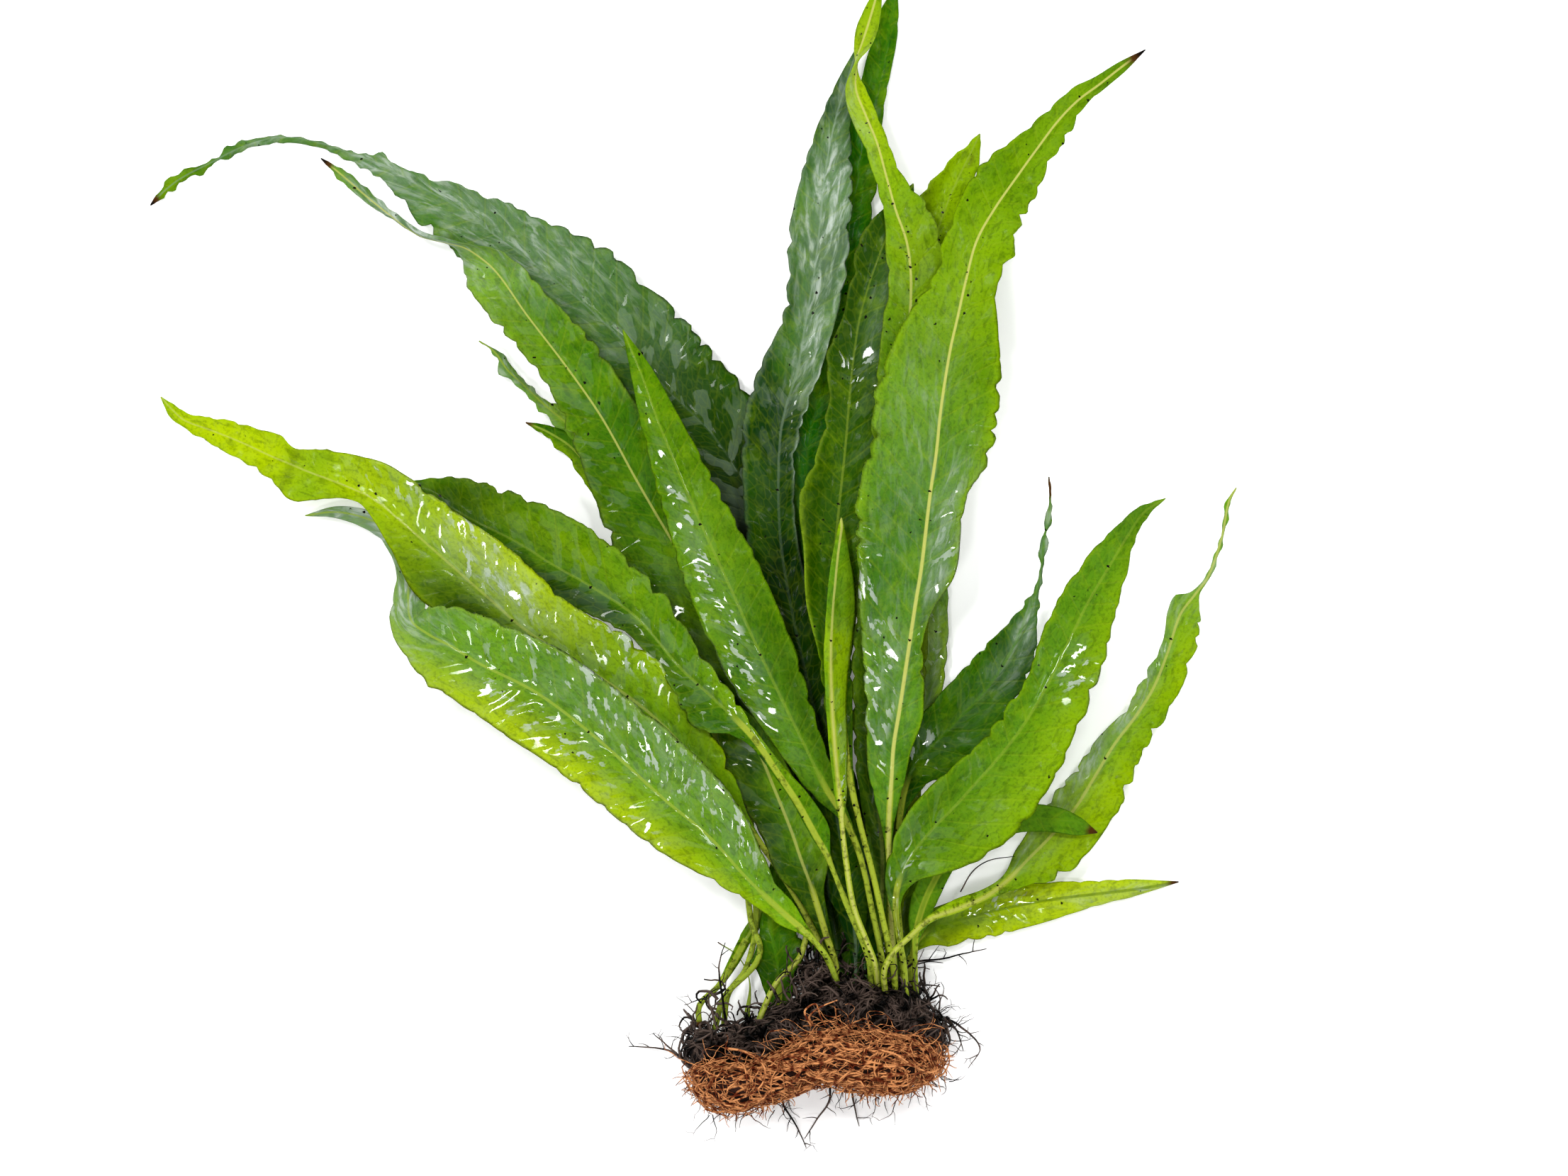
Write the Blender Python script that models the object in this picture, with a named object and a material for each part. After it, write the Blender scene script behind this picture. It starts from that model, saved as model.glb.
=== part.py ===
# A bare-root java fern lying on its back on a flat surface: leaves fanned out from a dark
# creeping rhizome, whose roots are still wrapped in a plug of coconut fibre.
# +Y runs from the plug to the leaf tips, +X to the right, +Z up from the surface.
# The origin is on the plug's flat underside.

import math

import bmesh
import bpy
from mathutils import Quaternion, Vector
from mathutils.bvhtree import BVHTree

MM = 0.001
UP = Vector((0.0, 0.0, 1.0))

# Clear distance that neighbouring pieces keep
GAP = 0.35 * MM

# Leaf stems and blades
STEM_RADIUS = 0.9 * MM
BLADE_HALF_THICKNESS = 0.42 * MM
TIP_RADIUS = 0.14 * MM
SECTION_SIDES = 8
LEAF_SPACING = 9.0 * MM

# Loose roots
ROOT_RADIUS = 0.4 * MM
ROOT_SIDES = 5
ROOT_SPACING = 3.5 * MM

# The rhizome: places along its middle in mm, with its half height in Y and in Z
RHIZOME_SIDES = 14
RHIZOME_SPACING = 3.4 * MM
RHIZOME = (
    (-29.6, 4.8, 10.0, 1.8, 3.0),
    (-26.0, 5.4, 10.5, 4.6, 6.5),
    (-16.0, 6.8, 12.0, 6.6, 8.0),
    (-7.0, 11.0, 13.0, 6.6, 9.0),
    (-3.0, 14.0, 13.0, 6.8, 9.2),
    (2.0, 15.4, 13.0, 6.9, 9.5),
    (12.0, 15.2, 13.0, 7.0, 9.5),
    (20.0, 14.0, 13.0, 6.7, 9.0),
    (25.6, 9.8, 12.0, 5.0, 7.0),
    (28.2, 8.4, 11.0, 2.0, 3.0),
)

# The coir plug: its kidney-shaped outline in mm, seen from above, and its depth
PLUG_DEPTH = 28.0 * MM
PLUG_OUTLINE = (
    (-29.2, -0.6),
    (-24.5, -0.4),
    (-16.5, -0.7),
    (-10.5, 1.0),
    (-5.5, 4.4),
    (1.0, 7.3),
    (9.0, 7.4),
    (18.5, 6.2),
    (24.5, 5.0),
    (28.6, 4.0),
    (29.3, -1.6),
    (26.0, -6.2),
    (20.8, -8.0),
    (12.8, -8.6),
    (3.2, -6.2),
    (-1.6, -6.4),
    (-7.0, -9.0),
    (-14.4, -11.8),
    (-19.5, -12.6),
    (-24.5, -11.0),
    (-28.4, -6.0),
)
# Levels of the plug: share of its depth, and how much of the outline's width is left there
PLUG_LEVELS = (
    (0.0, 0.9),
    (0.1, 0.985),
    (0.3, 1.0),
    (0.6, 1.0),
    (0.8, 0.93),
    (0.93, 0.76),
    (1.0, 0.45),
)

# Leaf colours, as seen in daylight
COLOURS = {
    "deep": (0.035, 0.115, 0.03),
    "dark": (0.02, 0.075, 0.012),
    "middle": (0.085, 0.25, 0.025),
    "bright": (0.24, 0.47, 0.01),
    "yellow": (0.42, 0.58, 0.01),
    "olive": (0.07, 0.15, 0.008),
    "rhizome": (0.018, 0.014, 0.015),
    "coir": (0.3, 0.12, 0.045),
    "root": (0.035, 0.025, 0.02),
}

# Every leaf with its stem: colour, how far its margins rise for each mm from the midrib, and
# rows along its midrib from the crown to the tip. A row is x, y, z, the blade's reach to the
# left and to the right of the midrib, in mm, and its turn about the midrib in degrees.
# A reach of 0 is the round stem, or the point of the tip.
LEAVES = {
    "leaf_back_arching": (
        "deep",
        0.05,
        (
            (6.0, 16.0, 9.0, 0, 0, 0),
            (4.5, 27.0, 5.6, 1.6, 1.6, 0),
            (1.0, 48.0, 4.0, 4, 4, 0),
            (-4.0, 72.0, 2.6, 5, 5, 0),
            (-8.0, 92.0, 2.2, 7, 7, 0),
            (-10.0, 110.0, 2.2, 9, 9, 0),
            (-15.0, 127.0, 2.4, 11, 11, 0),
            (-23.0, 140.0, 3.0, 12, 12, 0),
            (-34.0, 151.0, 4.0, 12.5, 13.2, 0),
            (-43.0, 161.0, 5.0, 12, 13, 0),
            (-56.0, 173.0, 6.0, 11.4, 12, 0),
            (-72.0, 185.0, 7.0, 9, 7.4, 0),
            (-80.0, 191.0, 7.5, 8, 4.6, 0),
            (-88.0, 195.5, 8.0, 6.2, 2.6, 0),
            (-96.0, 200.0, 8.0, 3.4, 1.8, 0),
            (-104.0, 203.0, 7.5, 2, 1, 20),
            (-112.0, 205.4, 7.0, 0.9, 0.9, 60),
            (-120.0, 206.6, 6.5, 0.9, 0.9, 50),
            (-128.0, 205.0, 5.5, 0.9, 0.9, 30),
            (-136.0, 201.4, 4.0, 0.8, 0.8, 10),
            (-143.0, 198.0, 2.4, 1.3, 1.4, 0),
            (-147.0, 195.0, 1.5, 1.1, 1.0, 0),
            (-150.0, 192.0, 0.9, 0, 0, 0),
        ),
    ),
    "leaf_left_tall": (
        "middle",
        0.06,
        (
            (-13.0, 8.0, 13.0, 0, 0, 0),
            (-9.0, 16.8, 15.0, 0, 0, 0),
            (-3.0, 24.0, 12.4, 0, 0, 0),
            (-1.6, 38.4, 9.5, 0, 0, 0),
            (-6.4, 62.4, 8.0, 2, 2, 0),
            (-16.0, 88.0, 8.0, 7, 7, 0),
            (-25.0, 105.0, 8.5, 10.5, 10.5, 0),
            (-32.0, 116.0, 9.0, 12, 11.5, 0),
            (-40.0, 129.6, 9.5, 10.5, 9.5, 0),
            (-48.0, 144.0, 10.0, 8, 8.2, 0),
            (-56.0, 155.5, 10.5, 5.9, 8, 0),
            (-64.8, 167.0, 11.0, 6.4, 6.4, 0),
            (-72.0, 177.0, 11.5, 7.4, 4.6, 0),
            (-77.5, 181.6, 11.0, 4.6, 2, -30),
            (-82.0, 183.4, 10.0, 1.6, 1.3, -70),
            (-88.5, 185.2, 8.5, 1, 1, -70),
            (-95.0, 189.4, 6.5, 0.9, 0.9, -30),
            (-101.0, 193.8, 4.5, 1.3, 1.3, 0),
            (-106.5, 198.6, 2.6, 1.2, 1.2, 0),
            (-111.5, 202.6, 1.2, 0, 0, 0),
        ),
    ),
    "leaf_centre_left": (
        "middle",
        -0.06,
        (
            (15.5, 15.0, 14.0, 0, 0, 0),
            (15.0, 22.0, 15.0, 0, 0, 0),
            (13.0, 32.0, 15.5, 0, 0, 0),
            (10.0, 45.6, 15.2, 0, 0, 0),
            (6.4, 54.4, 15.0, 1.4, 1.4, 0),
            (2.4, 60.8, 15.0, 3.6, 3, 0),
            (-3.2, 72.0, 15.0, 6, 4.5, 0),
            (-11.0, 88.0, 15.5, 8.7, 7.3, 0),
            (-19.0, 105.6, 16.5, 9.2, 8, 0),
            (-27.0, 123.2, 17.0, 7, 6.8, 0),
            (-35.0, 142.4, 16.5, 4, 4.8, 0),
            (-39.0, 153.6, 15.0, 2.4, 2.8, 0),
            (-43.2, 163.6, 13.0, 0, 0, 0),
        ),
    ),
    "leaf_grey_sheen": (
        "deep",
        0.05,
        (
            (9.0, 16.0, 11.0, 0, 0, 0),
            (9.0, 26.0, 9.5, 0, 0, 0),
            (7.0, 41.6, 9.0, 2.6, 2.6, 0),
            (1.6, 70.4, 9.0, 4, 4, 0),
            (-4.0, 94.4, 9.0, 6, 5, 0),
            (-7.5, 113.6, 9.0, 7.3, 4, 0),
            (-8.3, 128.0, 9.0, 8, 3.5, 0),
            (-7.5, 142.4, 9.2, 8.5, 4.2, 0),
            (-4.0, 155.0, 9.6, 8, 5, 0),
            (-2.0, 166.4, 10.0, 5, 6.5, 0),
            (-0.3, 176.0, 10.0, 5.8, 7, 0),
            (1.0, 187.0, 9.5, 6.6, 6.7, 0),
            (2.0, 197.6, 9.0, 5.2, 6.3, 0),
            (4.2, 209.6, 8.0, 3.4, 3.8, 0),
            (7.2, 220.0, 7.0, 1.9, 1.8, 0),
            (10.0, 228.4, 6.4, 0, 0, 0),
        ),
    ),
    "leaf_dark_top": (
        "dark",
        0.04,
        (
            (12.0, 16.0, 8.0, 0, 0, 0),
            (11.5, 26.0, 6.5, 0, 0, 0),
            (8.0, 44.0, 5.8, 3.4, 3.4, 0),
            (1.0, 75.0, 5.6, 4, 4, 0),
            (-2.0, 100.0, 5.6, 4, 4, 0),
            (-2.5, 122.0, 5.4, 5, 5, 0),
            (-1.0, 141.0, 5.0, 5.5, 5.5, 0),
            (3.0, 158.0, 4.4, 5.5, 5.5, 0),
            (6.0, 174.0, 4.0, 5, 5, 0),
            (8.0, 190.0, 3.6, 5, 4.8, 0),
            (10.5, 203.0, 3.2, 4.5, 4.2, 0),
            (13.0, 215.0, 2.8, 3.8, 2.6, 0),
            (16.0, 227.0, 2.2, 3.8, 2, 0),
            (17.2, 235.0, 1.6, 2.8, 1.6, 0),
            (18.4, 241.5, 1.0, 0, 0, 0),
        ),
    ),
    "leaf_left_middle": (
        "middle",
        0.05,
        (
            (12.5, 16.0, 15.0, 0, 0, 0),
            (11.8, 23.0, 18.6, 0, 0, 0),
            (7.2, 34.4, 19.0, 0, 0, 0),
            (3.0, 45.0, 18.6, 0, 0, 0),
            (0.0, 50.4, 18.4, 1.1, 3.8, 0),
            (-4.0, 57.6, 18.2, 1.1, 3.5, 0),
            (-8.8, 64.8, 18.2, 1.2, 2.2, 0),
            (-14.4, 72.8, 18.2, 2.4, 1.6, 0),
            (-22.4, 80.6, 18.2, 7.4, 3.8, 0),
            (-30.4, 88.0, 17.2, 4, 5.8, 0),
            (-40.0, 99.0, 14.5, 4.4, 7.6, 0),
            (-49.6, 105.6, 13.4, 6, 9.8, 0),
            (-59.0, 111.0, 12.8, 7, 11.2, 0),
            (-67.0, 116.0, 12.2, 7, 10, 0),
            (-75.0, 120.0, 11.4, 6, 8.8, 0),
            (-81.6, 123.5, 10.6, 5, 7.4, 0),
            (-87.0, 126.4, 9.8, 3.5, 4.5, 0),
            (-92.8, 129.3, 9.0, 0, 0, 0),
        ),
    ),
    "leaf_olive_back": (
        "olive",
        0.03,
        (
            (18.0, 15.0, 14.5, 0, 0, 0),
            (17.2, 22.0, 18.4, 0, 0, 0),
            (15.4, 30.0, 19.6, 0, 0, 0),
            (13.0, 41.0, 19.8, 0, 0, 0),
            (9.6, 54.4, 18.6, 0, 0, 0),
            (7.5, 64.0, 16.8, 1.2, 1.2, 0),
            (6.0, 76.8, 14.6, 3.5, 2.6, 0),
            (4.0, 91.0, 13.2, 3.4, 4.4, 0),
            (3.4, 102.4, 12.8, 5.5, 6, 0),
            (4.3, 113.6, 12.6, 7, 6.6, 0),
            (5.4, 124.8, 12.4, 9, 7, 0),
            (6.6, 136.0, 12.2, 6, 7, 0),
            (7.7, 148.8, 12.0, 4.6, 7.2, 0),
            (8.5, 156.8, 12.0, 6, 7.2, 0),
            (10.0, 166.4, 12.0, 3.8, 7.5, 0),
            (12.5, 175.2, 11.8, 4.5, 7.5, 0),
            (15.5, 183.2, 11.4, 5.4, 5.5, 0),
            (19.0, 190.4, 11.0, 3, 3.6, 0),
            (22.0, 196.5, 10.4, 0, 0, 0),
        ),
    ),
    "leaf_bright_top": (
        "bright",
        0.05,
        (
            (14.6, 16.0, 11.0, 0, 0, 0),
            (14.6, 26.0, 10.5, 0, 0, 0),
            (15.0, 46.0, 10.6, 2.6, 1.6, 0),
            (13.6, 64.0, 11.8, 3, 3, 0),
            (14.0, 80.0, 13.2, 3.4, 4.6, 0),
            (15.4, 98.0, 14.4, 4, 5, 0),
            (17.4, 118.0, 15.2, 4.6, 4.6, 0),
            (19.0, 142.4, 15.6, 5.5, 5.5, 0),
            (20.8, 161.6, 15.4, 6, 7, 0),
            (21.4, 174.4, 15.0, 5, 8, 0),
            (20.5, 183.0, 14.5, 5, 7.5, 0),
            (18.0, 190.4, 14.0, 2.8, 6.5, 0),
            (16.0, 197.6, 13.2, 2.6, 3.4, 0),
            (13.8, 205.6, 12.4, 3, 2.4, 0),
            (11.2, 212.0, 11.6, 3.4, 2.4, 0),
            (9.0, 217.6, 11.0, 2.6, 2.4, 20),
            (9.0, 222.8, 10.4, 1.7, 1.7, 80),
            (10.4, 227.2, 9.8, 2.4, 2.4, 140),
            (11.9, 232.4, 9.0, 2.4, 2.3, 180),
            (13.4, 237.5, 8.0, 1.6, 1.4, 180),
            (14.6, 242.0, 7.0, 0, 0, 180),
        ),
    ),
    "leaf_right_tall": (
        "middle",
        0.04,
        (
            (18.0, 15.0, 12.5, 0, 0, 0),
            (17.6, 23.0, 12.2, 0, 0, 0),
            (17.0, 31.0, 12.4, 0, 0, 0),
            (16.4, 46.4, 13.6, 0, 0, 0),
            (16.5, 54.4, 15.0, 2.4, 1.6, 0),
            (17.0, 62.4, 16.2, 5, 3, 0),
            (17.5, 70.4, 17.0, 6.2, 4.2, 0),
            (18.8, 78.4, 17.4, 7.6, 5.4, 0),
            (21.2, 94.4, 18.0, 11.2, 2.8, 0),
            (22.4, 102.4, 18.4, 13, 4.5, 0),
            (23.7, 110.4, 18.8, 14.3, 7.8, 0),
            (25.6, 126.4, 19.6, 16, 8, 0),
            (27.0, 136.0, 20.0, 14.4, 11.8, 0),
            (28.0, 145.6, 20.4, 15, 12.5, 0),
            (30.0, 158.4, 20.4, 12.7, 11.5, 0),
            (31.8, 166.4, 20.2, 10, 9.2, 0),
            (33.6, 174.4, 19.8, 7, 7, 0),
            (36.0, 183.2, 19.0, 6.8, 8.8, 0),
            (40.0, 190.4, 18.0, 8, 6.6, 0),
            (45.0, 197.6, 16.5, 7.6, 5.6, 0),
            (49.6, 204.0, 14.8, 5, 4, 0),
            (54.4, 210.4, 12.6, 3.3, 3.6, 0),
            (59.0, 215.2, 10.2, 3, 2, 0),
            (64.0, 219.0, 7.6, 2, 1.5, 0),
            (69.0, 223.0, 5.0, 1.3, 1.3, 0),
            (74.4, 227.0, 2.6, 0, 0, 0),
        ),
    ),
    "leaf_short_top": (
        "bright",
        0.06,
        (
            (17.0, 15.0, 8.0, 0, 0, 0),
            (16.8, 26.0, 6.4, 0, 0, 0),
            (17.4, 46.0, 6.2, 3, 3, 0),
            (17.4, 86.0, 7.0, 3.4, 3.4, 0),
            (20.0, 126.0, 8.4, 4, 4, 0),
            (22.4, 155.0, 9.0, 5, 5, 0),
            (24.0, 171.0, 9.2, 4.6, 5, 0),
            (26.4, 182.4, 9.2, 4.6, 5, 0),
            (29.6, 192.0, 9.0, 6, 4.4, 0),
            (32.0, 197.6, 8.8, 4.2, 3.6, 0),
            (34.4, 202.4, 8.4, 2.6, 2.6, 0),
            (37.0, 207.8, 8.0, 0, 0, 0),
        ),
    ),
    "leaf_centre_upright": (
        "bright",
        0.0,
        (
            (14.0, 16.5, 16.0, 0, 0, 0),
            (13.2, 22.0, 21.4, 0, 0, 0),
            (11.5, 26.6, 22.6, 0, 0, 0),
            (8.5, 34.6, 22.8, 0, 0, 0),
            (6.8, 44.8, 22.6, 0, 0, 0),
            (5.8, 54.4, 22.4, 0, 0, 0),
            (5.0, 60.8, 22.2, 1.2, 2.8, 35),
            (4.0, 72.0, 21.6, 1.5, 4.2, 35),
            (3.4, 81.6, 21.0, 1.6, 4.6, 35),
            (3.2, 91.2, 20.4, 1.6, 6, 35),
            (3.5, 99.0, 19.8, 1.6, 6.8, 35),
            (4.2, 107.2, 19.2, 1.5, 5.8, 35),
            (5.0, 114.4, 18.6, 1.2, 3.2, 35),
            (5.8, 121.4, 18.0, 0, 0, 35),
        ),
    ),
    "leaf_right_front": (
        "middle",
        -0.04,
        (
            (20.4, 14.0, 14.0, 0, 0, 0),
            (19.8, 21.5, 15.0, 0, 0, 0),
            (18.8, 27.0, 15.2, 0, 0, 0),
            (18.0, 33.0, 15.8, 1, 1, 0),
            (18.4, 39.0, 16.6, 3.2, 2.6, 0),
            (20.8, 44.8, 17.6, 4.6, 7, 0),
            (25.6, 51.2, 19.4, 6.6, 11.5, 0),
            (30.4, 56.2, 21.0, 7, 13, 0),
            (36.0, 62.4, 22.6, 6.2, 14, 0),
            (41.6, 68.8, 23.8, 5.2, 13, 0),
            (46.4, 75.2, 24.4, 5.2, 11.4, 0),
            (51.2, 83.2, 24.4, 4.8, 10.2, 0),
            (56.0, 92.8, 23.6, 6.2, 8.8, 0),
            (60.8, 102.4, 21.6, 6, 6.8, 0),
            (65.6, 110.4, 18.8, 5.2, 4.4, 0),
            (70.2, 117.8, 15.6, 3.2, 1.8, 0),
            (73.6, 122.6, 13.2, 1.7, 1.3, 0),
            (78.6, 125.8, 11.0, 0, 0, 0),
        ),
    ),
    "leaf_right_needle": (
        "dark",
        0.08,
        (
            (20.0, 15.0, 9.5, 0, 0, 0),
            (19.2, 26.0, 9.4, 0, 0, 0),
            (18.4, 38.4, 9.2, 0, 0, 0),
            (19.0, 54.4, 9.4, 1.2, 1.2, 0),
            (21.6, 64.8, 9.8, 4, 5.4, 0),
            (26.4, 70.4, 10.2, 6, 7.6, 0),
            (31.2, 75.2, 10.6, 6.8, 8.2, 0),
            (39.2, 84.0, 11.0, 6.8, 6.8, 0),
            (44.2, 92.0, 11.0, 5, 5.4, 0),
            (47.2, 98.9, 11.0, 2.4, 2.8, 0),
            (49.4, 104.0, 10.8, 1, 1, 0),
            (50.6, 110.4, 10.2, 0.6, 0.6, 0),
            (51.5, 116.8, 9.0, 0.5, 0.5, 0),
            (52.8, 124.8, 7.0, 0.5, 0.5, 0),
            (52.6, 130.7, 5.4, 0, 0, 0),
        ),
    ),
    "leaf_small_left": (
        "olive",
        0.05,
        (
            (5.0, 16.0, 14.0, 0, 0, 0),
            (4.4, 22.0, 15.4, 0, 0, 0),
            (2.4, 28.0, 15.4, 0, 0, 0),
            (-0.8, 38.4, 14.6, 2, 0.9, 0),
            (-3.2, 44.8, 14.0, 4, 4.4, 0),
            (-5.4, 51.2, 13.4, 5.6, 4.4, 0),
            (-9.6, 61.6, 12.6, 8, 4.6, 0),
            (-13.0, 69.6, 12.2, 8.6, 4, 0),
            (-17.0, 75.6, 12.0, 6, 3, 0),
            (-20.6, 81.0, 12.0, 0, 0, 0),
        ),
    ),
    "leaf_small_right": (
        "dark",
        0.05,
        (
            (22.6, 13.6, 9.0, 0, 0, 0),
            (22.4, 25.6, 8.4, 0.9, 0.9, 0),
            (23.2, 31.0, 8.6, 2.6, 2.6, 0),
            (25.6, 37.6, 8.8, 3.6, 2.8, 0),
            (30.4, 45.6, 9.0, 3.4, 2.6, 0),
            (37.6, 51.8, 9.2, 3.4, 3.2, 0),
            (46.4, 54.0, 9.4, 3.2, 3.2, 0),
            (54.0, 53.5, 9.4, 3, 2.8, 0),
            (59.0, 52.0, 9.2, 2.2, 2, 0),
            (63.4, 50.7, 8.8, 0, 0, 0),
        ),
    ),
    "leaf_far_right": (
        "bright",
        0.07,
        (
            (15.6, 15.0, 16.0, 0, 0, 0),
            (15.4, 20.5, 21.6, 0, 0, 0),
            (17.4, 24.4, 22.6, 0, 0, 0),
            (20.8, 27.6, 21.0, 0, 0, 0),
            (25.6, 31.6, 17.0, 1, 1, 0),
            (32.0, 33.8, 13.2, 2.5, 1, 0),
            (38.4, 36.5, 10.2, 2, 1, 0),
            (43.2, 40.0, 8.0, 1.6, 3.2, 0),
            (48.0, 44.8, 6.2, 3.6, 6.6, 0),
            (52.8, 49.6, 5.4, 4.9, 8.6, 0),
            (58.4, 56.0, 5.2, 5.6, 8.4, 0),
            (62.4, 62.4, 5.6, 4.6, 7.8, 0),
            (67.2, 70.4, 6.4, 3.8, 6.6, 0),
            (72.0, 76.8, 7.2, 2.6, 5.6, 0),
            (76.0, 83.2, 7.8, 3, 5.6, 0),
            (79.2, 91.2, 8.0, 1.9, 5.6, 0),
            (82.0, 99.6, 7.4, 1.8, 4.6, 0),
            (85.4, 104.2, 6.4, 0.8, 1, 0),
            (88.5, 108.4, 5.2, 0.5, 0.5, 0),
            (91.5, 116.8, 3.4, 0.5, 0.5, 0),
            (93.3, 125.3, 1.8, 0.5, 0.5, 0),
            (95.0, 128.3, 1.2, 0, 0, 0),
        ),
    ),
    "leaf_left_front": (
        "middle",
        0.03,
        (
            (5.0, 17.0, 16.0, 0, 0, 0),
            (2.6, 23.0, 19.4, 0, 0, 0),
            (-1.6, 28.2, 20.2, 1, 1, 0),
            (-6.4, 32.4, 20.6, 2.7, 3.2, 0),
            (-11.2, 36.8, 21.0, 3.2, 3.8, 0),
            (-16.0, 41.6, 21.4, 4.8, 6.2, 0),
            (-24.0, 50.4, 22.0, 8.8, 9.7, 0),
            (-33.6, 58.4, 22.4, 10, 12, 0),
            (-49.6, 72.8, 22.8, 11, 11.3, 0),
            (-62.4, 82.4, 22.6, 11.8, 11, 0),
            (-75.0, 88.8, 21.8, 10, 10, 0),
            (-81.6, 92.8, 20.8, 10, 9, 0),
            (-86.6, 95.4, 19.6, 7.6, 7, 0),
            (-90.4, 98.4, 17.8, 5.2, 4.6, 0),
            (-91.2, 103.4, 15.2, 3.4, 3.4, 0),
            (-91.2, 109.4, 12.4, 2.8, 3, 0),
            (-92.8, 114.6, 10.0, 3, 2.8, 0),
            (-96.0, 118.8, 8.0, 2.8, 2.6, 0),
            (-101.2, 121.4, 6.2, 2.2, 2, 0),
            (-108.0, 122.8, 4.2, 1.4, 1.3, 0),
            (-115.0, 122.0, 2.4, 0, 0, 0),
        ),
    ),
    "leaf_left_yellow": (
        "yellow",
        0.06,
        (
            (5.0, 16.0, 11.5, 0, 0, 0),
            (2.0, 24.0, 13.2, 0, 0, 0),
            (-5.6, 38.4, 13.2, 0, 0, 0),
            (-14.4, 51.2, 14.2, 1.2, 1.2, 0),
            (-24.0, 63.2, 15.4, 5, 5.4, 0),
            (-32.0, 72.8, 15.8, 7, 6.6, 0),
            (-39.0, 79.2, 15.9, 8, 6.4, 0),
            (-48.0, 85.6, 16.4, 8, 8.4, 0),
            (-57.0, 91.2, 16.8, 8, 9.8, 0),
            (-65.6, 96.8, 16.6, 8, 10.7, 0),
            (-72.0, 102.4, 16.4, 7.4, 11.4, 0),
            (-78.4, 108.0, 16.2, 8.4, 11.2, 0),
            (-84.8, 113.6, 15.6, 8.4, 10, 0),
            (-91.2, 119.2, 14.8, 7, 9, 0),
            (-99.0, 125.6, 13.4, 5.2, 8.4, 0),
            (-104.0, 128.0, 12.6, 5, 7.6, 0),
            (-109.0, 130.0, 11.8, 6, 6.6, 0),
            (-114.4, 132.0, 11.0, 7.6, 5.2, 0),
            (-118.4, 133.7, 10.6, 6, 3.6, 0),
            (-122.0, 135.2, 9.8, 4.4, 5.2, 0),
            (-129.0, 138.4, 7.8, 3.8, 4, 0),
            (-136.0, 141.2, 6.0, 2.8, 2.8, 0),
            (-142.0, 143.4, 4.2, 1.6, 1.5, 0),
            (-144.8, 145.8, 3.0, 1.4, 1.2, 0),
            (-147.6, 148.8, 1.8, 0, 0, 0),
        ),
    ),
    "leaf_thin_left": (
        "middle",
        0.08,
        (
            (-20.6, 7.0, 10.0, 0, 0, 0),
            (-19.6, 14.4, 9.0, 0, 0, 0),
            (-15.6, 20.0, 6.0, 0, 0, 0),
            (-13.4, 30.0, 5.0, 0, 0, 0),
            (-14.4, 49.6, 4.6, 1, 1, 0),
            (-17.6, 70.4, 4.6, 1.6, 1.6, 0),
            (-26.0, 97.6, 4.8, 2.4, 2.4, 0),
            (-37.6, 121.6, 5.8, 2.6, 2.6, 0),
            (-47.0, 135.0, 6.2, 2.4, 2.4, 0),
            (-56.2, 143.0, 6.2, 2.2, 2, 0),
            (-61.6, 147.2, 5.8, 1.6, 1.5, 30),
            (-66.2, 151.4, 5.2, 1.4, 1.6, 50),
            (-69.4, 154.6, 4.4, 1.4, 1.2, 20),
            (-72.2, 158.8, 3.4, 0.7, 0.7, 0),
            (-75.8, 161.4, 2.4, 0, 0, 0),
        ),
    ),
    "leaf_thin_left_low": (
        "dark",
        0.08,
        (
            (-22.6, 6.6, 12.0, 0, 0, 0),
            (-20.4, 14.0, 13.0, 0, 0, 0),
            (-13.6, 21.0, 10.0, 0, 0, 0),
            (-12.4, 25.0, 8.6, 0, 0, 0),
            (-14.4, 30.4, 7.8, 0, 0, 0),
            (-16.6, 49.6, 7.2, 0, 0, 0),
            (-21.6, 70.4, 6.6, 1.4, 1.4, 0),
            (-33.0, 94.4, 4.6, 2.8, 2.8, 0),
            (-41.0, 116.8, 3.8, 3.2, 3.2, 0),
            (-48.6, 129.6, 3.4, 3, 3, 0),
            (-54.8, 137.2, 3.0, 2.4, 2, 0),
            (-60.2, 140.8, 2.6, 1.4, 1.2, 0),
            (-65.3, 143.0, 2.0, 0, 0, 0),
        ),
    ),
    "leaf_bottom_right": (
        "bright",
        0.05,
        (
            (22.0, 14.0, 7.0, 0, 0, 0),
            (21.4, 23.4, 4.8, 1.2, 1.2, 0),
            (25.6, 28.8, 4.0, 3.6, 4.6, 0),
            (33.6, 31.2, 3.4, 4.4, 5.2, 0),
            (43.2, 33.6, 3.0, 4.8, 5.4, 0),
            (52.8, 35.4, 2.6, 3.9, 4.6, 0),
            (62.4, 36.6, 2.2, 3, 2.8, 0),
            (72.0, 37.7, 1.6, 2.3, 1.5, 0),
            (82.0, 39.4, 1.0, 0, 0, 0),
        ),
    ),
    "leaf_right_back": (
        "deep",
        0.05,
        (
            (18.4, 16.0, 7.0, 0, 0, 0),
            (18.8, 26.0, 4.6, 0, 0, 0),
            (18.6, 38.4, 3.6, 2, 2, 0),
            (21.0, 59.2, 3.6, 2, 2, 0),
            (24.0, 75.2, 3.8, 3.4, 3, 0),
            (26.4, 86.4, 4.0, 4, 2.9, 0),
            (27.2, 94.4, 4.0, 4, 2.8, 0),
            (27.0, 102.4, 3.8, 4, 3, 0),
            (25.4, 112.0, 3.4, 3, 3, 0),
            (22.6, 122.0, 3.0, 0, 0, 0),
        ),
    ),
    "leaf_young_left": (
        "dark",
        0.1,
        (
            (-26.0, 7.0, 10.5, 0, 0, 0),
            (-26.0, 12.0, 11.4, 0, 0, 0),
            (-21.6, 16.4, 8.0, 0, 0, 0),
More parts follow.
